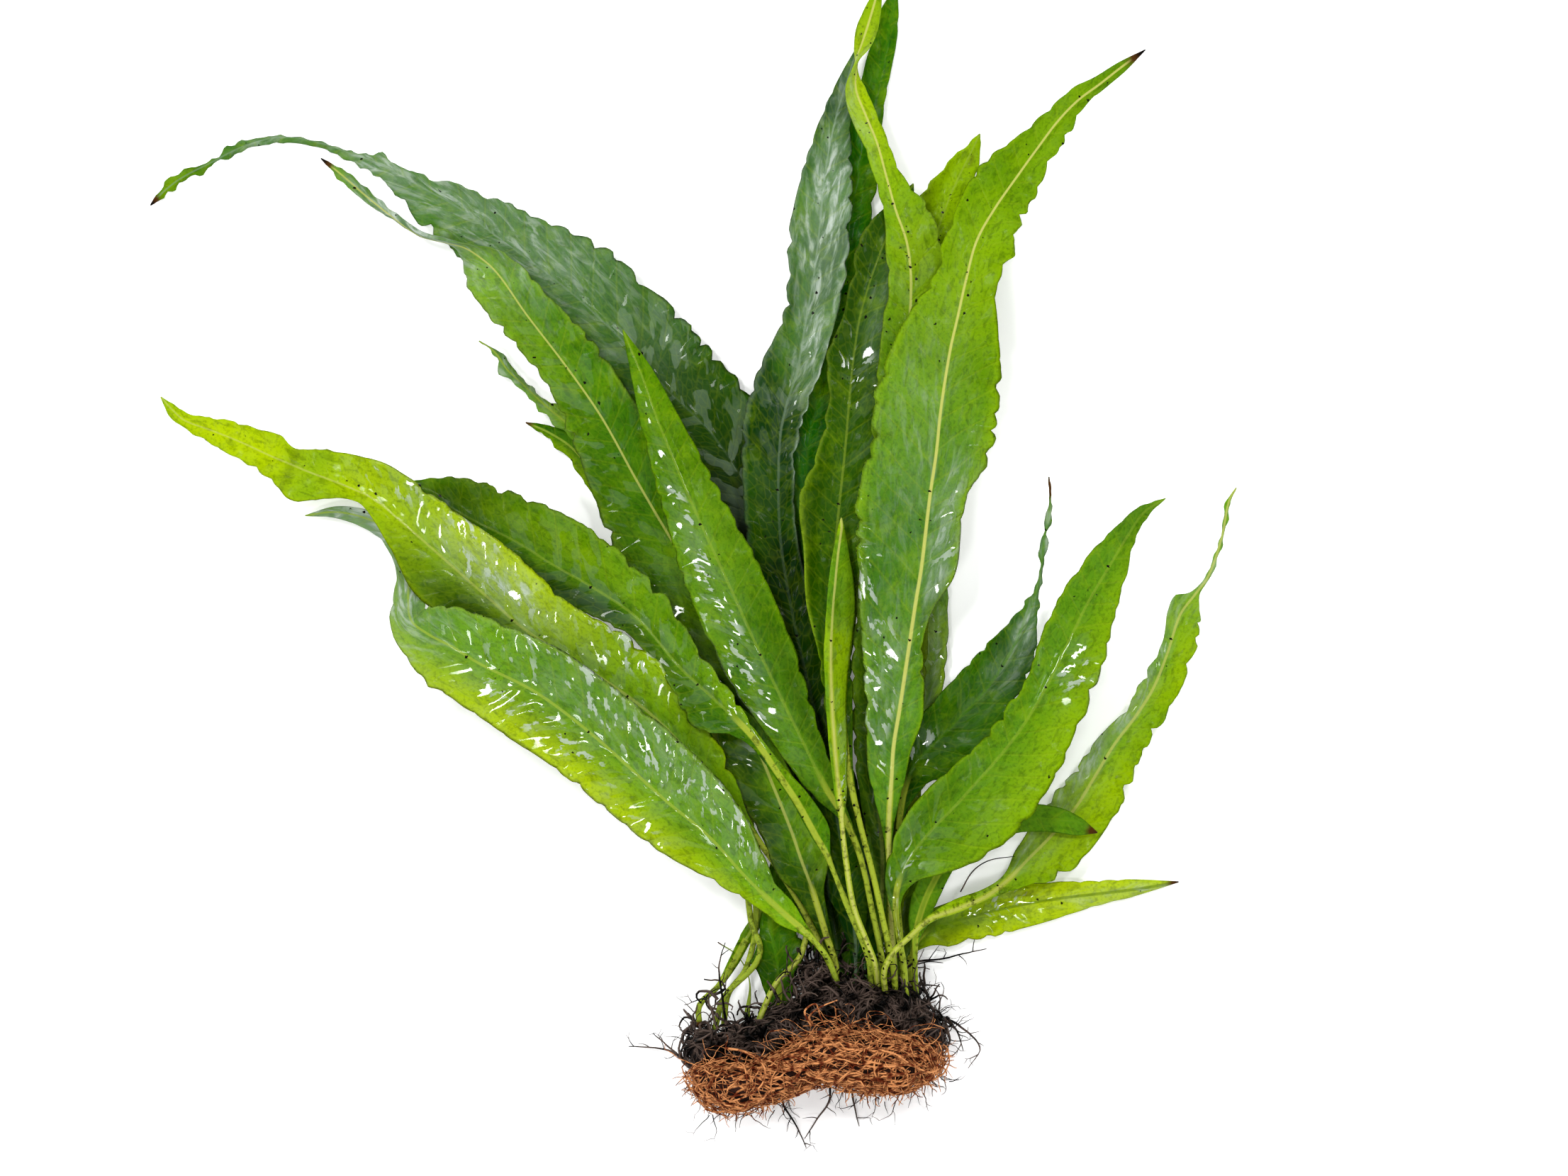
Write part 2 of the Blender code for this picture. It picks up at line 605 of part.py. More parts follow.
            (-18.4, 21.4, 4.6, 1.4, 1.3, 0),
            (-15.8, 26.2, 2.6, 1.6, 1.4, 0),
            (-13.2, 30.6, 2.0, 1.4, 1.3, 0),
            (-11.4, 35.0, 1.6, 0, 0, 0),
        ),
    ),
    "leaf_young_inner": (
        "middle",
        0.1,
        (
            (-8.0, 11.5, 9.0, 0, 0, 0),
            (-8.4, 19.6, 8.8, 1, 1, 0),
            (-8.8, 23.0, 7.6, 3, 4, 0),
            (-9.6, 26.0, 6.6, 2.4, 4.6, 0),
            (-10.0, 32.0, 5.4, 2, 5.4, 0),
            (-9.4, 39.0, 4.8, 2, 4.6, 0),
            (-8.4, 48.0, 4.0, 0, 0, 0),
        ),
    ),
    "stem_stub": (
        "bright",
        0.0,
        (
            (-15.4, 9.0, 6.0, 0, 0, 0),
            (-14.8, 17.0, 3.4, 0, 0, 0),
            (-17.4, 22.6, 1.6, 0, 0, 0),
            (-22.0, 25.8, 1.3, 0, 0, 0),
        ),
    ),
}

# The longest loose roots, from inside the rhizome or the plug to their tips, in mm
ROOTS = {
    "root_right_long": ((19, 15, 4.6), (21.5, 20.8, 2.4), (29, 22.2, 1.8), (38.7, 24.3, 1)),
    "root_right_hook": ((27, 10, 8), (32, 7.4, 5), (37.2, 2, 1.4), (34.6, -2.6, 0.8)),
    "root_right_short": ((27, 10, 12), (31, 7.4, 11), (33.4, 1.6, 5)),
    "root_left_branch": ((-20, 8, 16), (-21, 15.4, 19), (-21.6, 21, 17), (-20.2, 26.2, 14)),
    "root_left_upper": ((-22, 7, 15), (-24.6, 13.4, 15.4), (-29.4, 12, 11)),
    "root_left_long": ((-27, -3, 5), (-33, 1.4, 2.6), (-42, 2.3, 0.9)),
    "root_left_short": ((-27, -3, 9), (-32, 1.6, 7), (-36.6, 5.4, 4)),
    "root_below_left": ((-8, -6, 5), (-7.2, -10.6, 2.6), (-4.6, -15, 1.2), (-2, -20.6, 0.8)),
    "root_below_middle": ((3, -3, 7), (3.2, -9.6, 4.6), (0.4, -14, 3.6), (-2.4, -18.4, 2.8)),
    "root_below_right": ((8, -4, 5), (8.8, -11, 2.2), (9.9, -15.8, 1)),
}


def clear_scene():
    for existing in list(bpy.data.objects):
        bpy.data.objects.remove(existing, do_unlink=True)


def plain_material(name, colour, roughness):
    material = bpy.data.materials.new(name)
    material.use_nodes = True
    shader = material.node_tree.nodes["Principled BSDF"]
    shader.inputs["Base Color"].default_value = (*colour, 1.0)
    shader.inputs["Roughness"].default_value = roughness
    shader.inputs["Metallic"].default_value = 0.0
    return material


def add_object(name, bm, material):
    """A new object from a bmesh, with its faces turned outwards."""
    bmesh.ops.recalc_face_normals(bm, faces=bm.faces)
    mesh = bpy.data.meshes.new(name)
    bm.to_mesh(mesh)
    bm.free()
    mesh.materials.append(material)
    mesh.shade_smooth()
    piece = bpy.data.objects.new(name, mesh)
    bpy.context.collection.objects.link(piece)
    return piece


class SmoothPath:
    """A smooth curve through rows of numbers, the first three of them a place.
    It is read by the distance run along the straight lines between the rows."""

    def __init__(self, rows):
        self.rows = rows
        self.distances = [0.0]
        for here, after in zip(rows, rows[1:]):
            step = (Vector(after[:3]) - Vector(here[:3])).length
            self.distances.append(self.distances[-1] + step)
        self.slopes = []
        last = len(rows) - 1
        for i in range(last + 1):
            low, high = max(i - 1, 0), min(i + 1, last)
            run = self.distances[high] - self.distances[low]
            self.slopes.append([(b - a) / run for a, b in zip(rows[low], rows[high])])

    def at(self, distance):
        i = 0
        while i < len(self.rows) - 2 and distance > self.distances[i + 1]:
            i += 1
        run = self.distances[i + 1] - self.distances[i]
        t = min(max((distance - self.distances[i]) / run, 0.0), 1.0)
        start = 2 * t**3 - 3 * t**2 + 1
        leave = (t**3 - 2 * t**2 + t) * run
        arrive = (t**3 - t**2) * run
        return [
            start * a + leave * slope_a + (1 - start) * b + arrive * slope_b
            for a, b, slope_a, slope_b in zip(
                self.rows[i], self.rows[i + 1], self.slopes[i], self.slopes[i + 1]
            )
        ]

    def direction(self, distance):
        reach = 0.3 * MM
        before = Vector(self.at(max(distance - reach, 0.0))[:3])
        after = Vector(self.at(min(distance + reach, self.distances[-1]))[:3])
        return (after - before).normalized()

    def stations(self, first, spacing):
        """Distances from first to the end: every row's own, and more where rows lie far apart."""
        marks = [first] + [d for d in self.distances if d > first + 0.4 * spacing]
        found = []
        for low, high in zip(marks, marks[1:]):
            steps = max(1, round((high - low) / spacing))
            found += [low + (high - low) * k / steps for k in range(steps)]
        return found + [marks[-1]]


def in_metres(rows, lengths):
    """Rows with their first so many numbers turned from mm into metres."""
    return [[v * MM if k < lengths else float(v) for k, v in enumerate(row)] for row in rows]


def first_clear(path, radius, bodies):
    """The distance along path from which a round stem stands clear of every body."""
    distance = 0.0
    clear_from = 0.0
    while distance < 14 * MM:
        point = Vector(path.at(distance)[:3])
        for tree in bodies:
            nearest, normal, _, away = tree.find_nearest(point)
            inside = (point - nearest).dot(normal) < 0.0
            if inside or away < radius + GAP:
                clear_from = distance + 0.2 * MM
        distance += 0.2 * MM
    return clear_from


def skin(rings):
    """A closed bmesh over rings of equally many points, its ends filled."""
    bm = bmesh.new()
    loops = [[bm.verts.new(point) for point in ring] for ring in rings]
    for here, after in zip(loops, loops[1:]):
        for k in range(len(here)):
            following = (k + 1) % len(here)
            bm.faces.new((here[k], here[following], after[following], after[k]))
    bm.faces.new(reversed(loops[0]))
    bm.faces.new(loops[-1])
    return bm


def leaf_ring(path, distance, rise):
    """The leaf's cross-section there: round in the stem, a thin lens in the blade."""
    x, y, z, left, right, roll = path.at(distance)
    left = max(left, TIP_RADIUS)
    right = max(right, TIP_RADIUS)
    reach = (left + right) / 2
    spread = min(max(reach / STEM_RADIUS - 1, 0.0) / 2, 1.0)
    half_thickness = min(reach, STEM_RADIUS) * (1 - spread) + BLADE_HALF_THICKNESS * spread
    along = path.direction(distance)
    side = along.cross(UP).normalized()
    side.rotate(Quaternion(along, math.radians(roll)))
    normal = side.cross(along)
    centre = Vector((x, y, z))
    ring = []
    for k in range(SECTION_SIDES):
        angle = 2 * math.pi * k / SECTION_SIDES
        across = math.cos(angle) * (right if math.cos(angle) > 0 else left)
        lift = half_thickness * math.sin(angle) + rise * spread * abs(across)
        ring.append(centre + side * across + normal * lift)
    return ring


def with_stem_and_tip(rows):
    """Rows in metres, with the stem's radius below the blade and the tip's at the end."""
    widest = max(range(len(rows)), key=lambda i: rows[i][3] + rows[i][4])
    found = in_metres(rows, 5)
    for i, row in enumerate(found):
        least = STEM_RADIUS if i <= widest else TIP_RADIUS
        row[3:5] = [reach or least for reach in row[3:5]]
    return found


def make_leaf(name, colour, rise, rows, bodies):
    path = SmoothPath(with_stem_and_tip(rows))
    start = first_clear(path, STEM_RADIUS, bodies)
    rings = [leaf_ring(path, d, rise) for d in path.stations(start, LEAF_SPACING)]
    material = plain_material(name, COLOURS[colour], 0.35)
    return add_object(name, skin(rings), material)


def make_root(name, rows, bodies):
    path = SmoothPath(in_metres(rows, 3))
    start = first_clear(path, ROOT_RADIUS, bodies)
    rings = []
    for distance in path.stations(start, ROOT_SPACING):
        along = path.direction(distance)
        side = along.cross(UP).normalized()
        normal = side.cross(along)
        end = path.distances[-1] - distance
        radius = ROOT_RADIUS * (0.5 + 0.5 * min(end / (8 * MM), 1.0))
        centre = Vector(path.at(distance)[:3])
        angles = [2 * math.pi * k / ROOT_SIDES for k in range(ROOT_SIDES)]
        rings.append(
            [centre + radius * (side * math.cos(a) + normal * math.sin(a)) for a in angles]
        )
    return add_object(name, skin(rings), plain_material(name, COLOURS["root"], 0.8))


def make_rhizome():
    """A lumpy creeping stem, ringed by the scars of old leaves."""
    path = SmoothPath(in_metres(RHIZOME, 5))
    rings = []
    for number, distance in enumerate(path.stations(0.0, RHIZOME_SPACING)):
        x, y, z, half_y, half_z = path.at(distance)
        ring = []
        for k in range(RHIZOME_SIDES):
            angle = 2 * math.pi * k / RHIZOME_SIDES
            lump = 1 + 0.07 * math.sin(3 * angle + 1.9 * number) - 0.06 * (number % 2)
            ring.append(
                Vector((x, y + half_y * lump * math.cos(angle), z + half_z * lump * math.sin(angle)))
            )
        rings.append(ring)
    return add_object("rhizome", skin(rings), plain_material("rhizome", COLOURS["rhizome"], 0.85))


def make_plug():
    """A kidney-shaped wad of fibre with a flat underside and a rounded, uneven top."""
    outline = [Vector((x * MM, y * MM, 0.0)) for x, y in PLUG_OUTLINE]
    middle = sum(outline, Vector()) / len(outline)
    rings = []
    for number, (share, width) in enumerate(PLUG_LEVELS):
        ring = []
        for k, corner in enumerate(outline):
            uneven = 1 - 0.025 * (1 + math.sin(2.3 * k + 1.7 * number)) * min(number, 1)
            point = middle + (corner - middle) * width * uneven
            point.z = PLUG_DEPTH * share
            ring.append(point)
        rings.append(ring)
    return add_object("coir_plug", skin(rings), plain_material("coir_plug", COLOURS["coir"], 0.9))


def main():
    clear_scene()
    rhizome = make_rhizome()
    plug = make_plug()
    bodies = []
    for body in (rhizome, plug):
        corners = [v.co.copy() for v in body.data.vertices]
        faces = [tuple(face.vertices) for face in body.data.polygons]
        bodies.append(BVHTree.FromPolygons(corners, faces))
    for name, (colour, rise, rows) in LEAVES.items():
        make_leaf(name, colour, rise, rows, bodies)
    for name, rows in ROOTS.items():
        make_root(name, rows, bodies)


main()
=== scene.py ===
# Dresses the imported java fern: wet ruffled leaves with their veins, specks and burnt tips,
# the rhizome under its mat of black roots, the coconut fibre plug and the loose roots.
# Every leaf is laid over the same rows as its solid, so it lies where the solid lies.
import math
import random

import bmesh
import bpy
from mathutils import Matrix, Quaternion, Vector, noise
from mathutils.bvhtree import BVHTree


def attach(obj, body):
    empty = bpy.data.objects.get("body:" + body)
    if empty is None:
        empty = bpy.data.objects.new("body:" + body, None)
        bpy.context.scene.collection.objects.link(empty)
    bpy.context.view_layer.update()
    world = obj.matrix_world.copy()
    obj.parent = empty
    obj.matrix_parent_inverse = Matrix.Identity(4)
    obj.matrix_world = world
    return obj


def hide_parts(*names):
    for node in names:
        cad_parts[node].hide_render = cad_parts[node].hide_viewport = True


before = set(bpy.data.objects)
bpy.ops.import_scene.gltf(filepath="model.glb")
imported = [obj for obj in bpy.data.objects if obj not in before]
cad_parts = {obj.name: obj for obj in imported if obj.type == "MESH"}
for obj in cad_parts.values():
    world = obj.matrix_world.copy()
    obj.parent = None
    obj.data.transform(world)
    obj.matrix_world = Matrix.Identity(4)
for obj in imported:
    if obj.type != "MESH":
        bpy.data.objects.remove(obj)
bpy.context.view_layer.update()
print("frame loaded:", len(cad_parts), "nodes")

mm = 0.001
up = Vector((0, 0, 1))
white = (1.0, 1.0, 1.0, 1.0)
stageShare = 0.58  # what a surface reflects of the colour it shows under this stage's light


def onScreen(red, green, blue):
    # what a surface reflects, from a colour as seen on a screen
    return tuple(stageShare * (max(v, 1) / 255) ** 2.2 for v in (red, green, blue)) + (1.0,)


palette = {
    "deep": onScreen(84, 132, 58),
    "jade": onScreen(40, 112, 2),
    "dark": onScreen(26, 74, 2),
    # night: the near-black green of the dark patches, which are partly painted shade, and of grime
    "night": onScreen(8, 24, 2),
    "shade": onScreen(10, 60, 1),
    "leaf": onScreen(96, 150, 26),
    "fern": onScreen(68, 124, 6),
    "fresh": onScreen(112, 168, 18),
    "bright": onScreen(150, 192, 2),
    "lemon": onScreen(194, 222, 3),
    "olive": onScreen(58, 100, 1),
    "moss": onScreen(88, 122, 12),
    # grey: painted sheen and film pools, and some pale ribs, margins and curled undersides
    "grey": onScreen(150, 174, 146),
    # highlight: the near-white of painted glints and of the brightest painted sheen
    "highlight": onScreen(208, 222, 208),
    "straw": onScreen(210, 214, 110),
    "lime": onScreen(164, 190, 66),
    "vein": onScreen(176, 202, 40),
    "stalk": onScreen(190, 204, 64),
    "brown": onScreen(84, 54, 22),
    "black": onScreen(20, 16, 14),
}

# rows along each leaf's midrib, from the crown to the tip: x, y, z, the blade's reach to the
# left and to the right, in mm, and its turn about the midrib in degrees; what is left out is 0
leafRows = {
    "leaf_back_arching": [
        (6, 16, 9), (4.5, 27, 5.6, 1.6, 1.6), (1, 48, 4, 4, 4), (-4, 72, 2.6, 5, 5),
        (-8, 92, 2.2, 7, 7), (-10, 110, 2.2, 9, 9), (-15, 127, 2.4, 11, 11), (-23, 140, 3, 12, 12),
        (-34, 151, 4, 12.5, 13.2), (-43, 161, 5, 12, 13), (-56, 173, 6, 11.4, 12),
        (-72, 185, 7, 9, 7.4), (-80, 191, 7.5, 8, 4.6), (-88, 195.5, 8, 6.2, 2.6),
        (-96, 200, 8, 3.4, 1.8), (-104, 203, 7.5, 2, 1, 20), (-112, 205.4, 7, 0.9, 0.9, 60),
        (-120, 206.6, 6.5, 0.9, 0.9, 50), (-128, 205, 5.5, 0.9, 0.9, 30),
        (-136, 201.4, 4, 0.8, 0.8, 10), (-143, 198, 2.4, 1.3, 1.4), (-147, 195, 1.5, 1.1, 1),
        (-150, 192, 0.9),
    ],
    "leaf_left_tall": [
        (-13, 8, 13), (-9, 16.8, 15), (-3, 24, 12.4), (-1.6, 38.4, 9.5), (-6.4, 62.4, 8, 2, 2),
        (-16, 88, 8, 7, 7), (-25, 105, 8.5, 10.5, 10.5), (-32, 116, 9, 12, 11.5),
        (-40, 129.6, 9.5, 10.5, 9.5), (-48, 144, 10, 8, 8.2), (-56, 155.5, 10.5, 5.9, 8),
        (-64.8, 167, 11, 6.4, 6.4), (-72, 177, 11.5, 7.4, 4.6), (-77.5, 181.6, 11, 4.6, 2, -30),
        (-82, 183.4, 10, 1.6, 1.3, -70), (-88.5, 185.2, 8.5, 1, 1, -70),
        (-95, 189.4, 6.5, 0.9, 0.9, -30), (-101, 193.8, 4.5, 1.3, 1.3), (-106.5, 198.6, 2.6, 1.2, 1.2),
        (-111.5, 202.6, 1.2),
    ],
    "leaf_centre_left": [
        (15.5, 15, 14), (15, 22, 15), (13, 32, 15.5), (10, 45.6, 15.2), (6.4, 54.4, 15, 1.4, 1.4),
        (2.4, 60.8, 15, 3.6, 3), (-3.2, 72, 15, 6, 4.5), (-11, 88, 15.5, 8.7, 7.3),
        (-19, 105.6, 16.5, 9.2, 8), (-27, 123.2, 17, 7, 6.8), (-35, 142.4, 16.5, 4, 4.8),
        (-39, 153.6, 15, 2.4, 2.8), (-43.2, 163.6, 13),
    ],
    "leaf_grey_sheen": [
        (9, 16, 11), (9, 26, 9.5), (7, 41.6, 9, 2.6, 2.6), (1.6, 70.4, 9, 4, 4), (-4, 94.4, 9, 6, 5),
        (-7.5, 113.6, 9, 7.3, 4), (-8.3, 128, 9, 8, 3.5), (-7.5, 142.4, 9.2, 8.5, 4.2),
        (-4, 155, 9.6, 8, 5), (-2, 166.4, 10, 5, 6.5), (-0.3, 176, 10, 5.8, 7),
        (1, 187, 9.5, 6.6, 6.7), (2, 197.6, 9, 5.2, 6.3), (4.2, 209.6, 8, 3.4, 3.8),
        (7.2, 220, 7, 1.9, 1.8), (10, 228.4, 6.4),
    ],
    "leaf_dark_top": [
        (12, 16, 8), (11.5, 26, 6.5), (8, 44, 5.8, 3.4, 3.4), (1, 75, 5.6, 4, 4), (-2, 100, 5.6, 4, 4),
        (-2.5, 122, 5.4, 5, 5), (-1, 141, 5, 5.5, 5.5), (3, 158, 4.4, 5.5, 5.5), (6, 174, 4, 5, 5),
        (8, 190, 3.6, 5, 4.8), (10.5, 203, 3.2, 4.5, 4.2), (13, 215, 2.8, 3.8, 2.6),
        (16, 227, 2.2, 3.8, 2), (17.2, 235, 1.6, 2.8, 1.6), (18.4, 241.5, 1),
    ],
    "leaf_left_middle": [
        (12.5, 16, 15), (11.8, 23, 18.6), (7.2, 34.4, 19), (3, 45, 18.6), (0, 50.4, 18.4, 1.1, 3.8),
        (-4, 57.6, 18.2, 1.1, 3.5), (-8.8, 64.8, 18.2, 1.2, 2.2), (-14.4, 72.8, 18.2, 2.4, 1.6),
        (-22.4, 80.6, 18.2, 7.4, 3.8), (-30.4, 88, 17.2, 4, 5.8), (-40, 99, 14.5, 4.4, 7.6),
        (-49.6, 105.6, 13.4, 6, 9.8), (-59, 111, 12.8, 7, 11.2), (-67, 116, 12.2, 7, 10),
        (-75, 120, 11.4, 6, 8.8), (-81.6, 123.5, 10.6, 5, 7.4), (-87, 126.4, 9.8, 3.5, 4.5),
        (-92.8, 129.3, 9),
    ],
    "leaf_olive_back": [
        (18, 15, 14.5), (17.2, 22, 18.4), (15.4, 30, 19.6), (13, 41, 19.8), (9.6, 54.4, 18.6),
        (7.5, 64, 16.8, 1.2, 1.2), (6, 76.8, 14.6, 3.5, 2.6), (4, 91, 13.2, 3.4, 4.4),
        (3.4, 102.4, 12.8, 5.5, 6), (4.3, 113.6, 12.6, 7, 6.6), (5.4, 124.8, 12.4, 9, 7),
        (6.6, 136, 12.2, 6, 7), (7.7, 148.8, 12, 4.6, 7.2), (8.5, 156.8, 12, 6, 7.2),
        (10, 166.4, 12, 3.8, 7.5), (12.5, 175.2, 11.8, 4.5, 7.5), (15.5, 183.2, 11.4, 5.4, 5.5),
        (19, 190.4, 11, 3, 3.6), (22, 196.5, 10.4),
    ],
    "leaf_bright_top": [
        (14.6, 16, 11), (14.6, 26, 10.5), (15, 46, 10.6, 2.6, 1.6), (13.6, 64, 11.8, 3, 3),
        (14, 80, 13.2, 3.4, 4.6), (15.4, 98, 14.4, 4, 5), (17.4, 118, 15.2, 4.6, 4.6),
        (19, 142.4, 15.6, 5.5, 5.5), (20.8, 161.6, 15.4, 6, 7), (21.4, 174.4, 15, 5, 8),
        (20.5, 183, 14.5, 5, 7.5), (18, 190.4, 14, 2.8, 6.5), (16, 197.6, 13.2, 2.6, 3.4),
        (13.8, 205.6, 12.4, 3, 2.4), (11.2, 212, 11.6, 3.4, 2.4), (9, 217.6, 11, 2.6, 2.4, 20),
        (9, 222.8, 10.4, 1.7, 1.7, 80), (10.4, 227.2, 9.8, 2.4, 2.4, 140),
        (11.9, 232.4, 9, 2.4, 2.3, 180), (13.4, 237.5, 8, 1.6, 1.4, 180), (14.6, 242, 7, 0, 0, 180),
    ],
    "leaf_right_tall": [
        (18, 15, 12.5), (17.6, 23, 12.2), (17, 31, 12.4), (16.4, 46.4, 13.6),
        (16.5, 54.4, 15, 2.4, 1.6), (17, 62.4, 16.2, 5, 3), (17.5, 70.4, 17, 6.2, 4.2),
        (18.8, 78.4, 17.4, 7.6, 5.4), (21.2, 94.4, 18, 11.2, 2.8), (22.4, 102.4, 18.4, 13, 4.5),
        (23.7, 110.4, 18.8, 14.3, 7.8), (25.6, 126.4, 19.6, 16, 8), (27, 136, 20, 14.4, 11.8),
        (28, 145.6, 20.4, 15, 12.5), (30, 158.4, 20.4, 12.7, 11.5), (31.8, 166.4, 20.2, 10, 9.2),
        (33.6, 174.4, 19.8, 7, 7), (36, 183.2, 19, 6.8, 8.8), (40, 190.4, 18, 8, 6.6),
        (45, 197.6, 16.5, 7.6, 5.6), (49.6, 204, 14.8, 5, 4), (54.4, 210.4, 12.6, 3.3, 3.6),
        (59, 215.2, 10.2, 3, 2), (64, 219, 7.6, 2, 1.5), (69, 223, 5, 1.3, 1.3), (74.4, 227, 2.6),
    ],
    "leaf_short_top": [
        (17, 15, 8), (16.8, 26, 6.4), (17.4, 46, 6.2, 3, 3), (17.4, 86, 7, 3.4, 3.4),
        (20, 126, 8.4, 4, 4), (22.4, 155, 9, 5, 5), (24, 171, 9.2, 4.6, 5), (26.4, 182.4, 9.2, 4.6, 5),
        (29.6, 192, 9, 6, 4.4), (32, 197.6, 8.8, 4.2, 3.6), (34.4, 202.4, 8.4, 2.6, 2.6),
        (37, 207.8, 8),
    ],
    "leaf_centre_upright": [
        (14, 16.5, 16), (13.2, 22, 21.4), (11.5, 26.6, 22.6), (8.5, 34.6, 22.8), (6.8, 44.8, 22.6),
        (5.8, 54.4, 22.4), (5, 60.8, 22.2, 1.2, 2.8, 35), (4, 72, 21.6, 1.5, 4.2, 35),
        (3.4, 81.6, 21, 1.6, 4.6, 35), (3.2, 91.2, 20.4, 1.6, 6, 35), (3.5, 99, 19.8, 1.6, 6.8, 35),
        (4.2, 107.2, 19.2, 1.5, 5.8, 35), (5, 114.4, 18.6, 1.2, 3.2, 35), (5.8, 121.4, 18, 0, 0, 35),
    ],
    "leaf_right_front": [
        (20.4, 14, 14), (19.8, 21.5, 15), (18.8, 27, 15.2), (18, 33, 15.8, 1, 1),
        (18.4, 39, 16.6, 3.2, 2.6), (20.8, 44.8, 17.6, 4.6, 7), (25.6, 51.2, 19.4, 6.6, 11.5),
        (30.4, 56.2, 21, 7, 13), (36, 62.4, 22.6, 6.2, 14), (41.6, 68.8, 23.8, 5.2, 13),
        (46.4, 75.2, 24.4, 5.2, 11.4), (51.2, 83.2, 24.4, 4.8, 10.2), (56, 92.8, 23.6, 6.2, 8.8),
        (60.8, 102.4, 21.6, 6, 6.8), (65.6, 110.4, 18.8, 5.2, 4.4), (70.2, 117.8, 15.6, 3.2, 1.8),
        (73.6, 122.6, 13.2, 1.7, 1.3), (78.6, 125.8, 11),
    ],
    "leaf_right_needle": [
        (20, 15, 9.5), (19.2, 26, 9.4), (18.4, 38.4, 9.2), (19, 54.4, 9.4, 1.2, 1.2),
        (21.6, 64.8, 9.8, 4, 5.4), (26.4, 70.4, 10.2, 6, 7.6), (31.2, 75.2, 10.6, 6.8, 8.2),
        (39.2, 84, 11, 6.8, 6.8), (44.2, 92, 11, 5, 5.4), (47.2, 98.9, 11, 2.4, 2.8),
        (49.4, 104, 10.8, 1, 1), (50.6, 110.4, 10.2, 0.6, 0.6), (51.5, 116.8, 9, 0.5, 0.5),
        (52.8, 124.8, 7, 0.5, 0.5), (52.6, 130.7, 5.4),
    ],
    "leaf_small_left": [
        (5, 16, 14), (4.4, 22, 15.4), (2.4, 28, 15.4), (-0.8, 38.4, 14.6, 2, 0.9),
        (-3.2, 44.8, 14, 4, 4.4), (-5.4, 51.2, 13.4, 5.6, 4.4), (-9.6, 61.6, 12.6, 8, 4.6),
        (-13, 69.6, 12.2, 8.6, 4), (-17, 75.6, 12, 6, 3), (-20.6, 81, 12),
    ],
    "leaf_small_right": [
        (22.6, 13.6, 9), (22.4, 25.6, 8.4, 0.9, 0.9), (23.2, 31, 8.6, 2.6, 2.6),
        (25.6, 37.6, 8.8, 3.6, 2.8), (30.4, 45.6, 9, 3.4, 2.6), (37.6, 51.8, 9.2, 3.4, 3.2),
        (46.4, 54, 9.4, 3.2, 3.2), (54, 53.5, 9.4, 3, 2.8), (59, 52, 9.2, 2.2, 2), (63.4, 50.7, 8.8),
    ],
    "leaf_far_right": [
        (15.6, 15, 16), (15.4, 20.5, 21.6), (17.4, 24.4, 22.6), (20.8, 27.6, 21),
        (25.6, 31.6, 17, 1, 1), (32, 33.8, 13.2, 2.5, 1), (38.4, 36.5, 10.2, 2, 1),
        (43.2, 40, 8, 1.6, 3.2), (48, 44.8, 6.2, 3.6, 6.6), (52.8, 49.6, 5.4, 4.9, 8.6),
        (58.4, 56, 5.2, 5.6, 8.4), (62.4, 62.4, 5.6, 4.6, 7.8), (67.2, 70.4, 6.4, 3.8, 6.6),
        (72, 76.8, 7.2, 2.6, 5.6), (76, 83.2, 7.8, 3, 5.6), (79.2, 91.2, 8, 1.9, 5.6),
        (82, 99.6, 7.4, 1.8, 4.6), (85.4, 104.2, 6.4, 0.8, 1), (88.5, 108.4, 5.2, 0.5, 0.5),
        (91.5, 116.8, 3.4, 0.5, 0.5), (93.3, 125.3, 1.8, 0.5, 0.5), (95, 128.3, 1.2),
    ],
    "leaf_left_front": [
        (5, 17, 16), (2.6, 23, 19.4), (-1.6, 28.2, 20.2, 1, 1), (-6.4, 32.4, 20.6, 2.7, 3.2),
        (-11.2, 36.8, 21, 3.2, 3.8), (-16, 41.6, 21.4, 4.8, 6.2), (-24, 50.4, 22, 8.8, 9.7),
        (-33.6, 58.4, 22.4, 10, 12), (-49.6, 72.8, 22.8, 11, 11.3), (-62.4, 82.4, 22.6, 11.8, 11),
        (-75, 88.8, 21.8, 10, 10), (-81.6, 92.8, 20.8, 10, 9), (-86.6, 95.4, 19.6, 7.6, 7),
        (-90.4, 98.4, 17.8, 5.2, 4.6), (-91.2, 103.4, 15.2, 3.4, 3.4), (-91.2, 109.4, 12.4, 2.8, 3),
        (-92.8, 114.6, 10, 3, 2.8), (-96, 118.8, 8, 2.8, 2.6), (-101.2, 121.4, 6.2, 2.2, 2),
        (-108, 122.8, 4.2, 1.4, 1.3), (-115, 122, 2.4),
    ],
    "leaf_left_yellow": [
        (5, 16, 11.5), (2, 24, 13.2), (-5.6, 38.4, 13.2), (-14.4, 51.2, 14.2, 1.2, 1.2),
        (-24, 63.2, 15.4, 5, 5.4), (-32, 72.8, 15.8, 7, 6.6), (-39, 79.2, 15.9, 8, 6.4),
        (-48, 85.6, 16.4, 8, 8.4), (-57, 91.2, 16.8, 8, 9.8), (-65.6, 96.8, 16.6, 8, 10.7),
        (-72, 102.4, 16.4, 7.4, 11.4), (-78.4, 108, 16.2, 8.4, 11.2), (-84.8, 113.6, 15.6, 8.4, 10),
        (-91.2, 119.2, 14.8, 7, 9), (-99, 125.6, 13.4, 5.2, 8.4), (-104, 128, 12.6, 5, 7.6),
        (-109, 130, 11.8, 6, 6.6), (-114.4, 132, 11, 7.6, 5.2), (-118.4, 133.7, 10.6, 6, 3.6),
        (-122, 135.2, 9.8, 4.4, 5.2), (-129, 138.4, 7.8, 3.8, 4), (-136, 141.2, 6, 2.8, 2.8),
        (-142, 143.4, 4.2, 1.6, 1.5), (-144.8, 145.8, 3, 1.4, 1.2), (-147.6, 148.8, 1.8),
    ],
    "leaf_thin_left": [
